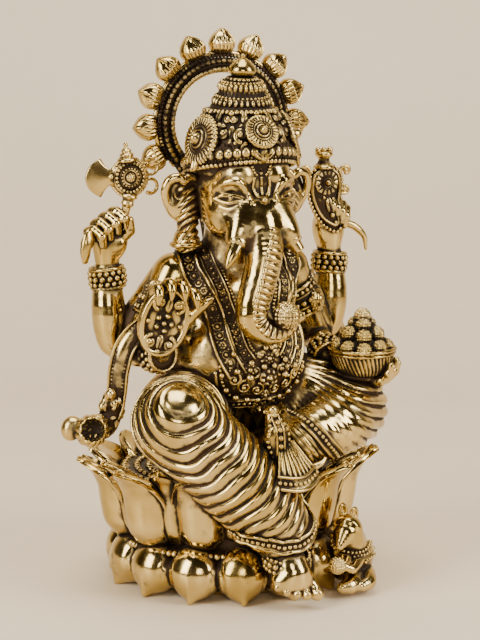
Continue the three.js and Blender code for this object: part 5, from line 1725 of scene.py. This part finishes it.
# ---------------------------------------------------------------- emblems in the rear hands, palm flower
def build_axe():
    """A round hub on a crescent blade, with a finial, curling hooks, and a handle through the hand."""
    brass = piece("axe")
    hub = AXE_HUB + vec(1.2, -0.2, -2.0)
    face = vec(0, -1, 0)
    for side in (1, -1):
        def height(r, a):
            return (0.9 * round_top(r / 0.3) + 0.5 * bump(r - 0.4, 0.1) + 0.35 * bump(r - 0.62, 0.08)
                    + 0.55 * bump(r - 0.95, 0.1) + 0.5 + 0.6 * (1 - r))
        medallion(brass, hub, side * face, 5.0, height, rings=26, sectors=60, depth=0.8)
        for radius, size, count in ((4.1, 0.5, 24), (2.5, 0.38, 18)):
            beads(brass, ring_round(hub + side * 1.0 * face, face, radius, count), size)
        for a in full_turn(8):
            beads(brass, [hub + side * 1.7 * face + 0.85 * vec(math.cos(a), 0, math.sin(a))], 0.34)
    beads(brass, ring_round(hub, face, 5.3, 34), 0.62)
    # The crescent blade: a thin sheet, its edge sharp and hollow-ground.
    rows, columns = 21, 33
    t = np.linspace(-1, 1, rows)[:, None]
    s = np.linspace(0, 1, columns)[None]
    root, edge = hub + vec(-5.0, 0, 0.4), hub + vec(-13.0, 0, 0.2)
    inner = root[None, None] + vec(-1.2, 0, 0) * (1 - t[..., None] ** 2) + vec(0, 0, 2.0) * t[..., None]
    outer_x = edge[0] + 4.4 * t ** 2
    outer = np.stack([outer_x, 0 * t + edge[1], edge[2] + 6.4 * t - 0.7 * t ** 3], -1)
    grid = inner + (outer - inner) * s[..., None]
    bend = 1.9 * np.sin(math.pi * s * 0.9) * np.sign(t) * np.abs(t) ** 2
    grid = grid - np.stack([0 * bend, 0 * bend, 0.55 * bend], -1)
    thick = 0.95 * (1 - 0.75 * s) * (1 - 0.2 * t ** 2) + 0.12
    sheet(brass, grid + thick[..., None] * vec(0, -1, 0), grid + thick[..., None] * vec(0, 1, 0))
    tube(brass, around(hub, (-4.6, 0, 2.6), (-5.6, 0, 0.4), (-4.8, 0, -2.2)), 0.8, 8, up=face)
    beads(brass, [hub + vec(-5.8, -0.9, 0.4)], 0.8)
    finial = [(0, -0.8), (2.6, -0.6), (2.8, 0.2), (1.8, 0.8), (2.1, 1.4), (1.3, 2.0), (1.5, 2.5),
              (0.8, 3.1), (0.55, 3.7), (0.7, 4.2), (0.35, 4.7), (0, 4.9)]
    lathe(brass, curve(finial, 3), hub + vec(-0.6, 0, 5.0), (-0.1, 0, 1), 28, 9, 0.06)
    shaft = [(0, 0), (1.6, 0), (2.5, 1.0), (1.6, 2.0), (1.9, 3.2), (1.25, 4.2), (1.25, 7.0), (1.7, 8.0),
             (1.1, 9.2), (0, 9.4)]
    to_hand = REAR_HAND_R + vec(2.2, -2, 3) - hub
    lathe(brass, curve(shaft, 3), hub + vec(0.2, 0, -4.4), to_hand, 28, 8, 0.06)
    for z, size, start in ((2.4, 2.3, 2.2), (-2.4, 2.0, -2.2)):
        line = []
        for a in start + np.copysign(np.linspace(0, 4.6, 20), -start):
            line.append(hub + vec(6.4 + size * math.cos(a), 0, z * 1.15 + size * math.sin(a)))
        tube(brass, line, np.linspace(0.62, 0.42, 20), 8, up=face)
        beads(brass, line[-1:], 0.72)
    handle = around(REAR_HAND_R, (3.9, -2.2, 4.4), (1.8, -1.0, 0), (-3.6, -0.8, -1.0), (-6.6, -2.6, 0.6),
                    (-8.0, -3.4, -3.4), (-8.4, -3.0, -7.4))
    tube(brass, curve(handle, 6), np.interp(np.arange(31), [0, 12, 22, 30], [0.9, 1.1, 1.9, 0.9]), 10,
         up=face, flat=0.55, lobes=3, twist=0.05, depth=0.14)


def build_noose():
    """A flat, pointed emblem with a beaded border, scrolls at its sides and a tail through the hand."""
    brass = piece("noose_emblem")
    face = vec(0, -1, 0)
    centre = vec(31.4, 1.8, 111.6)
    clay = Clay(centre - vec(9, 4, 17), centre + vec(9, 4, 12), FINE_STEP)
    clay.add(egg(centre, (5.4, 1.9, 6.2)))
    clay.add(egg(centre + vec(0.6, 0, -5.0), (4.4, 1.8, 6.0), (0, -10, 0)), 1)
    clay.add(egg(centre + vec(2.4, 0, -9.6), (2.8, 1.5, 4.2), (0, -22, 0)), 1)
    brass.clay(clay)
    border = [(-4.6, 4.2), (-5.5, 0.0), (-4.9, -4.2), (-3.0, -8.2), (-0.4, -11.4), (3.2, -13.4),
              (4.9, -12.6), (4.4, -9.0), (4.9, -4.6), (5.5, 0.0), (4.6, 4.2), (0, 6.3), (-4.6, 4.2)]
    line = curve([centre + vec(x, -0.9, z) for x, z in border], 8)
    beads(brass, paced(line, 1.3)[:-1], 0.62)
    tube(brass, centre + (line - centre) * vec(0.8, 1, 0.84) + vec(0, -0.7, 0), 0.45, 7, up=face)
    for side in (1, -1):
        sunburst(brass, centre + vec(0, -1.7 * side, 1.2), face * side, 3.7, pleats=14)
        leaf(brass, centre + vec(0.9, -1.7 * side, -5.4), face * side, 2.6, 0.5, (-0.2, 0, 1))
    for x, z, size in ((-0.9, -3.2, 0.55), (2.0, -3.6, 0.55), (1.9, -8.4, 0.8), (3.0, -10.6, 0.6)):
        beads(brass, [centre + vec(x, -1.9, z)], size)
    cap = [(0, -1.4), (2.8, -1.2), (3.2, -0.4), (2.0, 0.5), (1.6, 1.6), (2.3, 2.4), (2.7, 3.1),
           (2.2, 3.8), (0, 3.9)]
    lathe(brass, curve(cap, 3), centre + vec(0, 0, 6.2), (0, 0, 1), 32, 10, 0.05)
    beads(brass, [centre + vec(x, 0, 10.4) for x in (-1.9, 0, 1.9)], 0.95)
    spiral(brass, centre + vec(6.9, -0.6, 4.2), face, 2.1, 1.2, 3.6, 0.62, -1)
    spiral(brass, centre + vec(6.6, -0.6, -1.0), face, 1.9, 1.2, 2.7, 0.62, 1)
    spiral(brass, centre + vec(-6.6, -0.6, 4.6), face, 2.0, 1.2, -0.5, 0.6, 1)
    tail = around(REAR_HAND, (3.6, -2.4, -0.6), (7.0, -3.0, -2.0), (10.0, -3.0, -5.0), (10.8, -2.8, -9.0))
    tube(brass, curve(tail, 7), np.interp(np.arange(22), [0, 10, 21], [1.2, 1.15, 0.45]), 10, up=face)


def build_palm_flower():
    """A flower with curling leaves, raised in the hollow of the open palm."""
    brass = piece("palm_medallion")
    axes = turning(PALM_TILT)
    out, up, across = axes @ vec(0, -1, 0), axes @ vec(0, 0, 1), axes @ vec(1, 0, 0)
    place = BLESSING_PALM + 1.5 * out - 0.4 * up

    def height(r, a):
        petal = 0.5 + 0.5 * np.cos(5 * a)
        return 1.3 * round_top(r / 0.22) + 1.3 * bump(r - 0.56, 0.36) * (0.1 + 0.9 * petal)

    medallion(brass, place, out, 3.9, height, up, 22, 60, 0.6)
    for side in (-1, 1):
        for high in (-1, 1):
            centre = place + side * 2.7 * across + high * 5.6 * up + 0.9 * out
            spiral(brass, centre, out, 2.1, 1.25, -high * QUARTER, 0.72, side * high, up)
        beads(brass, [place + side * 8.0 * up + 0.9 * out, place + side * 4.6 * across + 0.9 * out], 0.75)
    leaf(brass, place + 5.4 * up + 0.8 * out, out, 2.2, 0.5, up)
    leaf(brass, place - 5.4 * up + 0.8 * out, out, 2.2, 0.5, -up)


# ---------------------------------------------------------------- shawl ends
def shawl_band(brass, points, facing, width, flat, half, heights, row, size, gap):
    """A rounded band of cloth along a line, with a strap on its face and two rows of beads. heights are the
    strap's and the beads' above the line, and row is how far from its middle the beads lie."""
    line = paced(curve(points, 10), 0.7)
    along = tangents(line)
    face = unit(np.tile(facing, (len(line), 1)))
    face = unit(face - (face * along).sum(1, keepdims=True) * along)
    width = np.interp(np.linspace(0, 1, len(line)), [0, 0.15, 0.4, 0.75, 1], width)
    tube(brass, line, 2.9 * width, 16, up=face, flat=flat)
    _, side, lift = frames_along(line, face)
    strap(brass, line + heights[0] * lift, lift, cord_face(half, 0.8, 0.4, 1.0), width)
    for hand in (-1, 1):
        beaded(brass, line + heights[1] * lift + (hand * row * width)[:, None] * side, lift, size, gap)
    return line, along, lift


def build_right_shawl():
    brass = piece("right_shawl")
    points = np.array([(-21.5, -9.5, 71.6), (-24.5, -9.4, 75.0), (-29.5, -9.0, 76.4), (-34.6, -8.2, 71.6),
                       (-36.6, -7.5, 65.0), (-37.4, -7.4, 58.0), (-39.0, -7.8, 52.4),
                       (-43.4, -8.6, 49.0)])
    line, along, lift = shawl_band(brass, points, vec(-0.45, -0.85, 0.25), [0.7, 1.0, 1.05, 0.95, 0.9],
                                   0.72, 2.9, (1.2, 1.5), 1.55, 0.45, 1.05)
    s = lengths(line)
    for at in np.arange(2, s[-1] - 1, 2.2):
        k = int(np.searchsorted(s, at))
        leaf(brass, line[k] + 1.6 * lift[k], lift[k], 1.25, 0.55, -along[k])
    clay = Clay(vec(-57, -22, 38), vec(-32, 4, 62), FINE_STEP)
    cup = vec(-46.4, -11.0, 49.4)
    clay.add(limb([vec(-38.4, -7.6, 54.0), vec(-41.4, -8.4, 49.6), cup], [2.9, 3.3, 3.2]))
    clay.add(egg(cup + vec(-0.6, -1.4, 0), (4.6, 4.2, 4.4)), 1.5)
    axis = unit(vec(-0.25, -0.95, 0.18))
    clay.cut(egg(cup + 4.6 * axis, (3.4, 3.2, 3.3)), 0.4)

    def serrated(x, y, z):
        """Flutes that run round the open cup like folded cloth."""
        dx, dz = x - cup[0], z - cup[2]
        angle = np.arctan2(dz, dx)
        away = np.sqrt(dx ** 2 + dz ** 2 + (y - cup[1]) ** 2)
        flute = 0.5 * (ridges(angle * 13 / (2 * math.pi), 0.8) - 0.5)
        return flute * step(6.8 - away, 0, 1.5) * step(away, 2, 3)

    clay.press(serrated)
    knob = spot("right_shawl", 0.07, 0.5, 0.2)
    clay.add(limb([cup + vec(-3, 0.6, 0.4), knob + vec(0.6, -0.4, 0)], [2.4, 2.6]), 0.8)
    clay.add(egg(knob + vec(-0.2, -0.4, -0.2), (2.9, 2.7, 3.5), (0, 15, 0)), 0.8)
    for i, (x, y, z) in enumerate(((-40.6, -8.8, 57.2), (-39.0, -9.6, 55.8), (-41.8, -8.8, 55.2),
                                   (-40.2, -9.8, 58.6))):
        clay.add(egg(vec(x, y, z), (1.7, 1.5, 1.9), (0, 30 * i, 20 * i)), 0.6)
    brass.clay(clay)
    for i in range(26):
        t = rng.uniform(0, 1)
        a = rng.uniform(0, 2 * math.pi)
        base = vec(-38.6, -7.6, 54.0) * (1 - t) + (cup + vec(0.6, 0.6, 0)) * t
        spot_on, normal = clay.settle([base + 3 * vec(math.cos(a), -abs(math.sin(a)), math.sin(a))], 0.1)
        leaf(brass, spot_on[0], normal[0], 0.95, 0.5, vec(math.cos(a), 0, math.sin(a)))


def build_left_shawl():
    brass = piece("left_shawl")
    points = np.array([(26, 2, 73.4), (32.8, 3.4, 74.4), (37.4, 4.8, 67), (39.6, 5.4, 57),
                       (41.0, 4.6, 48), (43.6, 1.4, 44.0)])
    shawl_band(brass, points, vec(0.75, -0.6, 0.2), [1, 1, 1, 1, 1], 0.85, 2.7, (1.5, 1.8), 1.4, 0.42, 1.0)
    clay = Clay(vec(36, -8, 34), vec(54, 10, 54), FINE_STEP)
    end = vec(44.4, 0.6, 43.6)
    clay.add(limb([vec(41.4, 4.4, 47.4), end], [2.4, 2.8]))
    clay.add(egg(end + vec(1.0, -1.0, -0.2), (3.0, 2.8, 3.6), (0, -20, 0)), 1)

    def flutes(_, y, z):
        angle = np.arctan2(z - end[2], y - end[1])
        return 0.3 * (ridges(angle * 9 / (2 * math.pi), 0.8) - 0.5)

    clay.press(flutes)
    brass.clay(clay)


build_axe()
build_noose()
build_palm_flower()
build_right_shawl()
build_left_shawl()


# ---------------------------------------------------------------- casting the pieces
def cast_piece(node, brass, look):
    """One piece as a smooth-shaded mesh object in metres."""
    points = np.vstack(brass.points) * MM
    quads = np.vstack(brass.quads)
    tris = np.vstack(brass.tris)
    mesh = bpy.data.meshes.new(node + "_cast")
    mesh.vertices.add(len(points))
    mesh.vertices.foreach_set("co", points.astype(np.float32).ravel())
    mesh.loops.add(4 * len(quads) + 3 * len(tris))
    mesh.loops.foreach_set("vertex_index", np.concatenate([quads.ravel(), tris.ravel()]).astype(np.int32))
    mesh.polygons.add(len(quads) + len(tris))
    starts = np.concatenate([4 * np.arange(len(quads)), 4 * len(quads) + 3 * np.arange(len(tris))])
    mesh.polygons.foreach_set("loop_start", starts.astype(np.int32))
    mesh.polygons.foreach_set("use_smooth", np.ones(len(starts), bool))
    mesh.update(calc_edges=True)
    mesh.validate()
    made = bpy.data.objects.new(node + "_cast", mesh)
    bpy.context.collection.objects.link(made)
    mesh.materials.append(look)
    return made


# ---------------------------------------------------------------- looks
def new_look(name):
    """An empty material, and the graph to fill it with."""
    look = bpy.data.materials.new(name)
    look.use_nodes = True
    look.node_tree.nodes.clear()
    return look, Graph(look.node_tree)


class Graph:
    """Short names for building a material's nodes."""

    def __init__(self, tree):
        self.tree = tree

    def node(self, kind, inputs=None, **settings):
        made = self.tree.nodes.new(kind)
        for key, value in settings.items():
            setattr(made, key, value)
        for key, value in (inputs or {}).items():
            if isinstance(value, bpy.types.NodeSocket):
                self.tree.links.new(value, made.inputs[key])
            else:
                made.inputs[key].default_value = value
        return made

    def noise(self, place, scale, detail):
        return self.node("ShaderNodeTexNoise", {"Vector": place, "Scale": scale, "Detail": detail,
                                                "Roughness": 0.55}).outputs["Fac"]

    def fit(self, value, low, high, to_low=0.0, to_high=1.0):
        return self.node("ShaderNodeMapRange", {"Value": value, "From Min": low, "From Max": high,
                                                "To Min": to_low, "To Max": to_high},
                         interpolation_type="SMOOTHSTEP").outputs["Result"]

    def maths(self, operation, a, b):
        return self.node("ShaderNodeMath", {0: a, 1: b}, operation=operation).outputs[0]

    def mix(self, share, a, b):
        return self.node("ShaderNodeMix", {0: share, 6: a, 7: b}, data_type="RGBA").outputs[2]

    def surface(self, **inputs):
        """Ends a material with one shader. Inputs are named with underscores for spaces."""
        inputs = {key.replace("_", " "): value for key, value in inputs.items()}
        shader = self.node("ShaderNodeBsdfPrincipled", inputs).outputs["BSDF"]
        self.node("ShaderNodeOutputMaterial", {"Surface": shader})


GOLD, PALE_GOLD = (0.51, 0.36, 0.105, 1), (0.70, 0.53, 0.215, 1)
COPPER, SPECK = (0.42, 0.22, 0.09, 1), (0.06, 0.035, 0.02, 1)
BLACK_PATINA, BROWN_PATINA = (0.022, 0.014, 0.008, 1), (0.085, 0.042, 0.016, 1)


def brass_look(name, polish, patina, warmth):
    """Cast brass. polish is how bright its raised parts are rubbed, patina how far the dark finish reaches,
    and warmth how much of that finish is brown and not black."""
    look, g = new_look(name)
    place = g.node("ShaderNodeTexCoord").outputs["Object"]
    hollow = g.node("ShaderNodeAttribute", attribute_name="hollow").outputs["Fac"]
    worn = g.noise(place, 240.0, 6.0)
    broad = g.noise(place, 55.0, 3.0)
    speck = g.noise(place, 1500.0, 2.0)
    depth = g.maths("ADD", hollow, g.fit(worn, 0.3, 0.7, -0.10, 0.10))
    depth = g.maths("ADD", depth, g.fit(broad, 0.3, 0.7, -0.07, 0.07))
    dark = g.fit(depth, 0.52 - patina, 0.74 - patina)
    face = g.mix(g.fit(broad, 0.35, 0.65), GOLD, PALE_GOLD)
    face = g.mix(g.fit(worn, 0.62, 0.78, 0.0, 0.35), face, COPPER)
    low = g.mix(g.fit(broad, 0.4, 0.66, 0.0, warmth), BLACK_PATINA, BROWN_PATINA)
    colour = g.mix(dark, face, low)
    colour = g.mix(g.fit(speck, 0.66, 0.74, 0.0, 0.5), colour, SPECK)
    rough = g.maths("ADD", g.fit(dark, 0.0, 1.0, 0.42 - 0.28 * polish, 0.52),
                    g.fit(worn, 0.35, 0.7, -0.03, 0.09))
    fine = g.noise(place, 900.0, 3.0)
    relief = g.maths("ADD", g.maths("MULTIPLY", fine, 0.35), g.maths("MULTIPLY", worn, 0.65))
    ripple = g.node("ShaderNodeBump",
                    {"Strength": 0.10, "Distance": 0.0006, "Height": relief}).outputs["Normal"]
    g.surface(Base_Color=colour, Roughness=rough, Metallic=g.fit(dark, 0.0, 1.0, 1.0, 0.75), Normal=ripple)
    return look


LOOKS = {
    "polished_brass": brass_look("polished_brass_look", 1.0, 0.06, 0.5),
    "antique_brass": brass_look("antique_brass_look", 0.8, 0.20, 0.35),
    "dark_brass": brass_look("dark_brass_look", 0.5, 0.42, 0.3),
}
DARK_NODES = {"halo_ring", "halo_stem"}
POLISHED_NODES = {"torso", "head", "trunk", "right_leg_dhoti", "left_leg_dhoti", "right_foot",
                  "left_foot", "front_right_arm", "front_left_arm", "rear_right_arm", "rear_left_arm",
                  "rear_right_hand", "rear_left_hand", "blessing_hand", "offering_hand", "right_ear",
                  "left_ear", "right_tusk", "left_broken_tusk", "crown_finial", "halo_petals", "mouse",
                  "mouse_tail", "mouse_sweet", "lower_petals", "upper_petals"}


def slot_of(node):
    if node in DARK_NODES:
        return "dark_brass"
    return "polished_brass" if node in POLISHED_NODES else "antique_brass"


# ---------------------------------------------------------------- how deep in a hollow each point lies
def box_blur(field, reach):
    """A grid averaged over boxes that reach that many cells each way."""
    for axis in range(3):
        total = np.cumsum(field, axis=axis, dtype=np.float64)
        pad = [(0, 0)] * 3
        pad[axis] = (reach + 1, reach)
        total = np.pad(total, pad, mode="edge")
        total[tuple(slice(0, reach + 1) if k == axis else slice(None) for k in range(3))] = 0
        high = [slice(None)] * 3
        low = [slice(None)] * 3
        high[axis] = slice(2 * reach + 1, None)
        low[axis] = slice(0, -(2 * reach + 1))
        field = ((total[tuple(high)] - total[tuple(low)]) / (2 * reach + 1)).astype(np.float32)
    return field


def hollow_field(pieces):
    """A grid of how much brass surrounds each place, near (0.8 mm) and wide (2.6 mm)."""
    cell = 0.5
    low, high = (np.array(corner) / MM for corner in CAD_BOX)
    grid = Clay(low - 4, high + 4, cell)
    filled = np.zeros(grid.d.shape, np.float32)
    level = np.zeros(grid.d.shape, np.float32)
    for brass in pieces:
        points = (np.vstack(brass.points) - grid.low).astype(np.float32)
        quads = np.vstack(brass.quads).astype(np.uint32)
        tris = np.vstack(brass.tris).astype(np.uint32)
        shape = openvdb.createLinearTransform(voxelSize=cell)
        made = openvdb.FloatGrid.createLevelSetFromPolygons(points, triangles=tris, quads=quads,
                                                            transform=shape, halfWidth=2.0)
        made.copyToArray(level, (0, 0, 0))
        filled = np.maximum(filled, np.clip(0.5 - level / cell, 0, 1))
    near = box_blur(box_blur(filled, 1), 1)
    wide = box_blur(box_blur(filled, 5), 3)
    return grid, near, wide


def add_hollow(made, brass, grid, near, wide):
    """Writes how deep in a hollow each vertex lies, 0 to 1, where the look reads it."""
    points = np.vstack(brass.points)
    tight = grid.sample(points, near)
    broad = grid.sample(points, wide)
    value = np.clip(0.5 + 1.1 * (tight - 0.47) + 1.0 * (broad - 0.52), 0, 1)
    made.data.attributes.new("hollow", "FLOAT", "POINT").data.foreach_set("value", value.astype(np.float32))


# ---------------------------------------------------------------- casting, floor, light and camera
def cast_all():
    """Every piece as an object, on its body, in place of its CAD node."""
    fields = hollow_field(PIECES.values())
    for node, brass in PIECES.items():
        slot = slot_of(node)
        made = cast_piece(node, brass, LOOKS[slot])
        add_hollow(made, brass, *fields)
        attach(made, ROOT)
        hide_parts(node)


cast_all()


def plain_look(name, colour, rough):
    """A matt surface with a faint mottle."""
    look, g = new_look(name)
    place = g.node("ShaderNodeTexCoord").outputs["Object"]
    grain = g.noise(place, 90.0, 4.0)
    tint = g.mix(g.fit(grain, 0.3, 0.7, 0.0, 0.25), colour, tuple(0.93 * c for c in colour[:3]) + (1,))
    g.surface(Base_Color=tint, Roughness=rough)
    return look


# The photograph's view of the statuette: angles, distance, and the directions it looks along. In metres.
MIDDLE = np.array([0, 0, 0.08])
VIEW_AZ, VIEW_EL, VIEW_FAR = math.radians(-25), math.radians(10), 0.65
BACK = vec(math.sin(VIEW_AZ) * math.cos(VIEW_EL), -math.cos(VIEW_AZ) * math.cos(VIEW_EL), math.sin(VIEW_EL))
RIGHT = unit(np.cross((0, 0, 1), BACK))
UP = np.cross(BACK, RIGHT)


def make_floor():
    """A pale sheet that curves up into a backdrop behind the statuette."""
    half, bend, top = 4.0, 0.25, 2.5
    sine, cosine = math.sin(VIEW_AZ), math.cos(VIEW_AZ)
    profile = [(-half, 0.0), (bend, 0.0)]
    profile += [(bend + bend * math.sin(a), bend - bend * math.cos(a))
                for a in np.linspace(0.1, math.pi / 2, 14)]
    profile += [(2 * bend, top)]
    points, faces = [], []
    for y, z in profile:
        for x in (-half, half):
            points.append((x * cosine - y * sine, x * sine + y * cosine, z))
    for i in range(len(profile) - 1):
        faces.append((2 * i, 2 * i + 1, 2 * i + 3, 2 * i + 2))
    mesh = bpy.data.meshes.new("floor")
    mesh.from_pydata(points, [], faces)
    for face in mesh.polygons:
        face.use_smooth = True
    made = bpy.data.objects.new("floor", mesh)
    bpy.context.collection.objects.link(made)
    mesh.materials.append(plain_look("floor_look", (0.80, 0.68, 0.50, 1), 0.5))
    return made


def aim(made, eye, target):
    """Puts a camera or lamp at eye, turned to the target."""
    made.location = eye
    made.rotation_euler = Vector(np.asarray(target) - np.asarray(eye)).to_track_quat("-Z", "Y").to_euler()


def soft_light(name, across, up, back, size, power, colour=(1, 0.95, 0.88), tall=None):
    """A panel lamp placed in metres across, above and in front of the statuette, as the camera sees it."""
    lamp = bpy.data.lights.new(name, "AREA")
    lamp.shape = "RECTANGLE"
    lamp.size, lamp.size_y = size, tall or size
    lamp.energy = power
    lamp.color = colour
    made = bpy.data.objects.new(name, lamp)
    bpy.context.collection.objects.link(made)
    aim(made, MIDDLE + across * RIGHT + up * vec(0, 0, 1) + back * unit(BACK * vec(1, 1, 0)), MIDDLE)


def light_room():
    """A soft box at each side, a light above, a weak fill in front, and a warm, dim room."""
    soft_light("softbox_left", -0.55, 0.30, 0.45, 0.34, 7.0, tall=0.6)
    soft_light("softbox_right", 0.62, 0.34, 0.30, 0.28, 5.5, tall=0.55)
    soft_light("top_light", 0.0, 0.8, 0.05, 0.5, 6.0)
    soft_light("front_fill", 0.1, 0.25, 0.9, 0.30, 2.2, (1, 0.9, 0.75))
    world = bpy.data.worlds.new("warm_room")
    world.use_nodes = True
    world.node_tree.nodes.clear()
    bpy.context.scene.world = world
    g = Graph(world.node_tree)
    direction = g.node("ShaderNodeTexCoord").outputs["Generated"]
    height = g.node("ShaderNodeSeparateXYZ", {"Vector": direction}).outputs["Z"]
    room = g.mix(g.fit(height, -0.4, 0.9), (0.22, 0.14, 0.06, 1), (0.06, 0.045, 0.03, 1))
    sky = g.node("ShaderNodeBackground", {"Color": room, "Strength": 0.4})
    g.node("ShaderNodeOutputWorld", {"Surface": sky.outputs["Background"]})


def place_camera():
    """A long lens at the photograph's angle."""
    lens = bpy.data.cameras.new("camera")
    lens.sensor_fit = "VERTICAL"
    lens.sensor_height = 36.0
    lens.lens = 128.0
    lens.clip_start, lens.clip_end = 0.01, 10.0
    camera = bpy.data.objects.new("camera", lens)
    bpy.context.collection.objects.link(camera)
    target = MIDDLE + 0.00343 * RIGHT - 0.00514 * UP
    aim(camera, target + VIEW_FAR * BACK, target)
    bpy.context.scene.camera = camera


make_floor()
light_room()
place_camera()
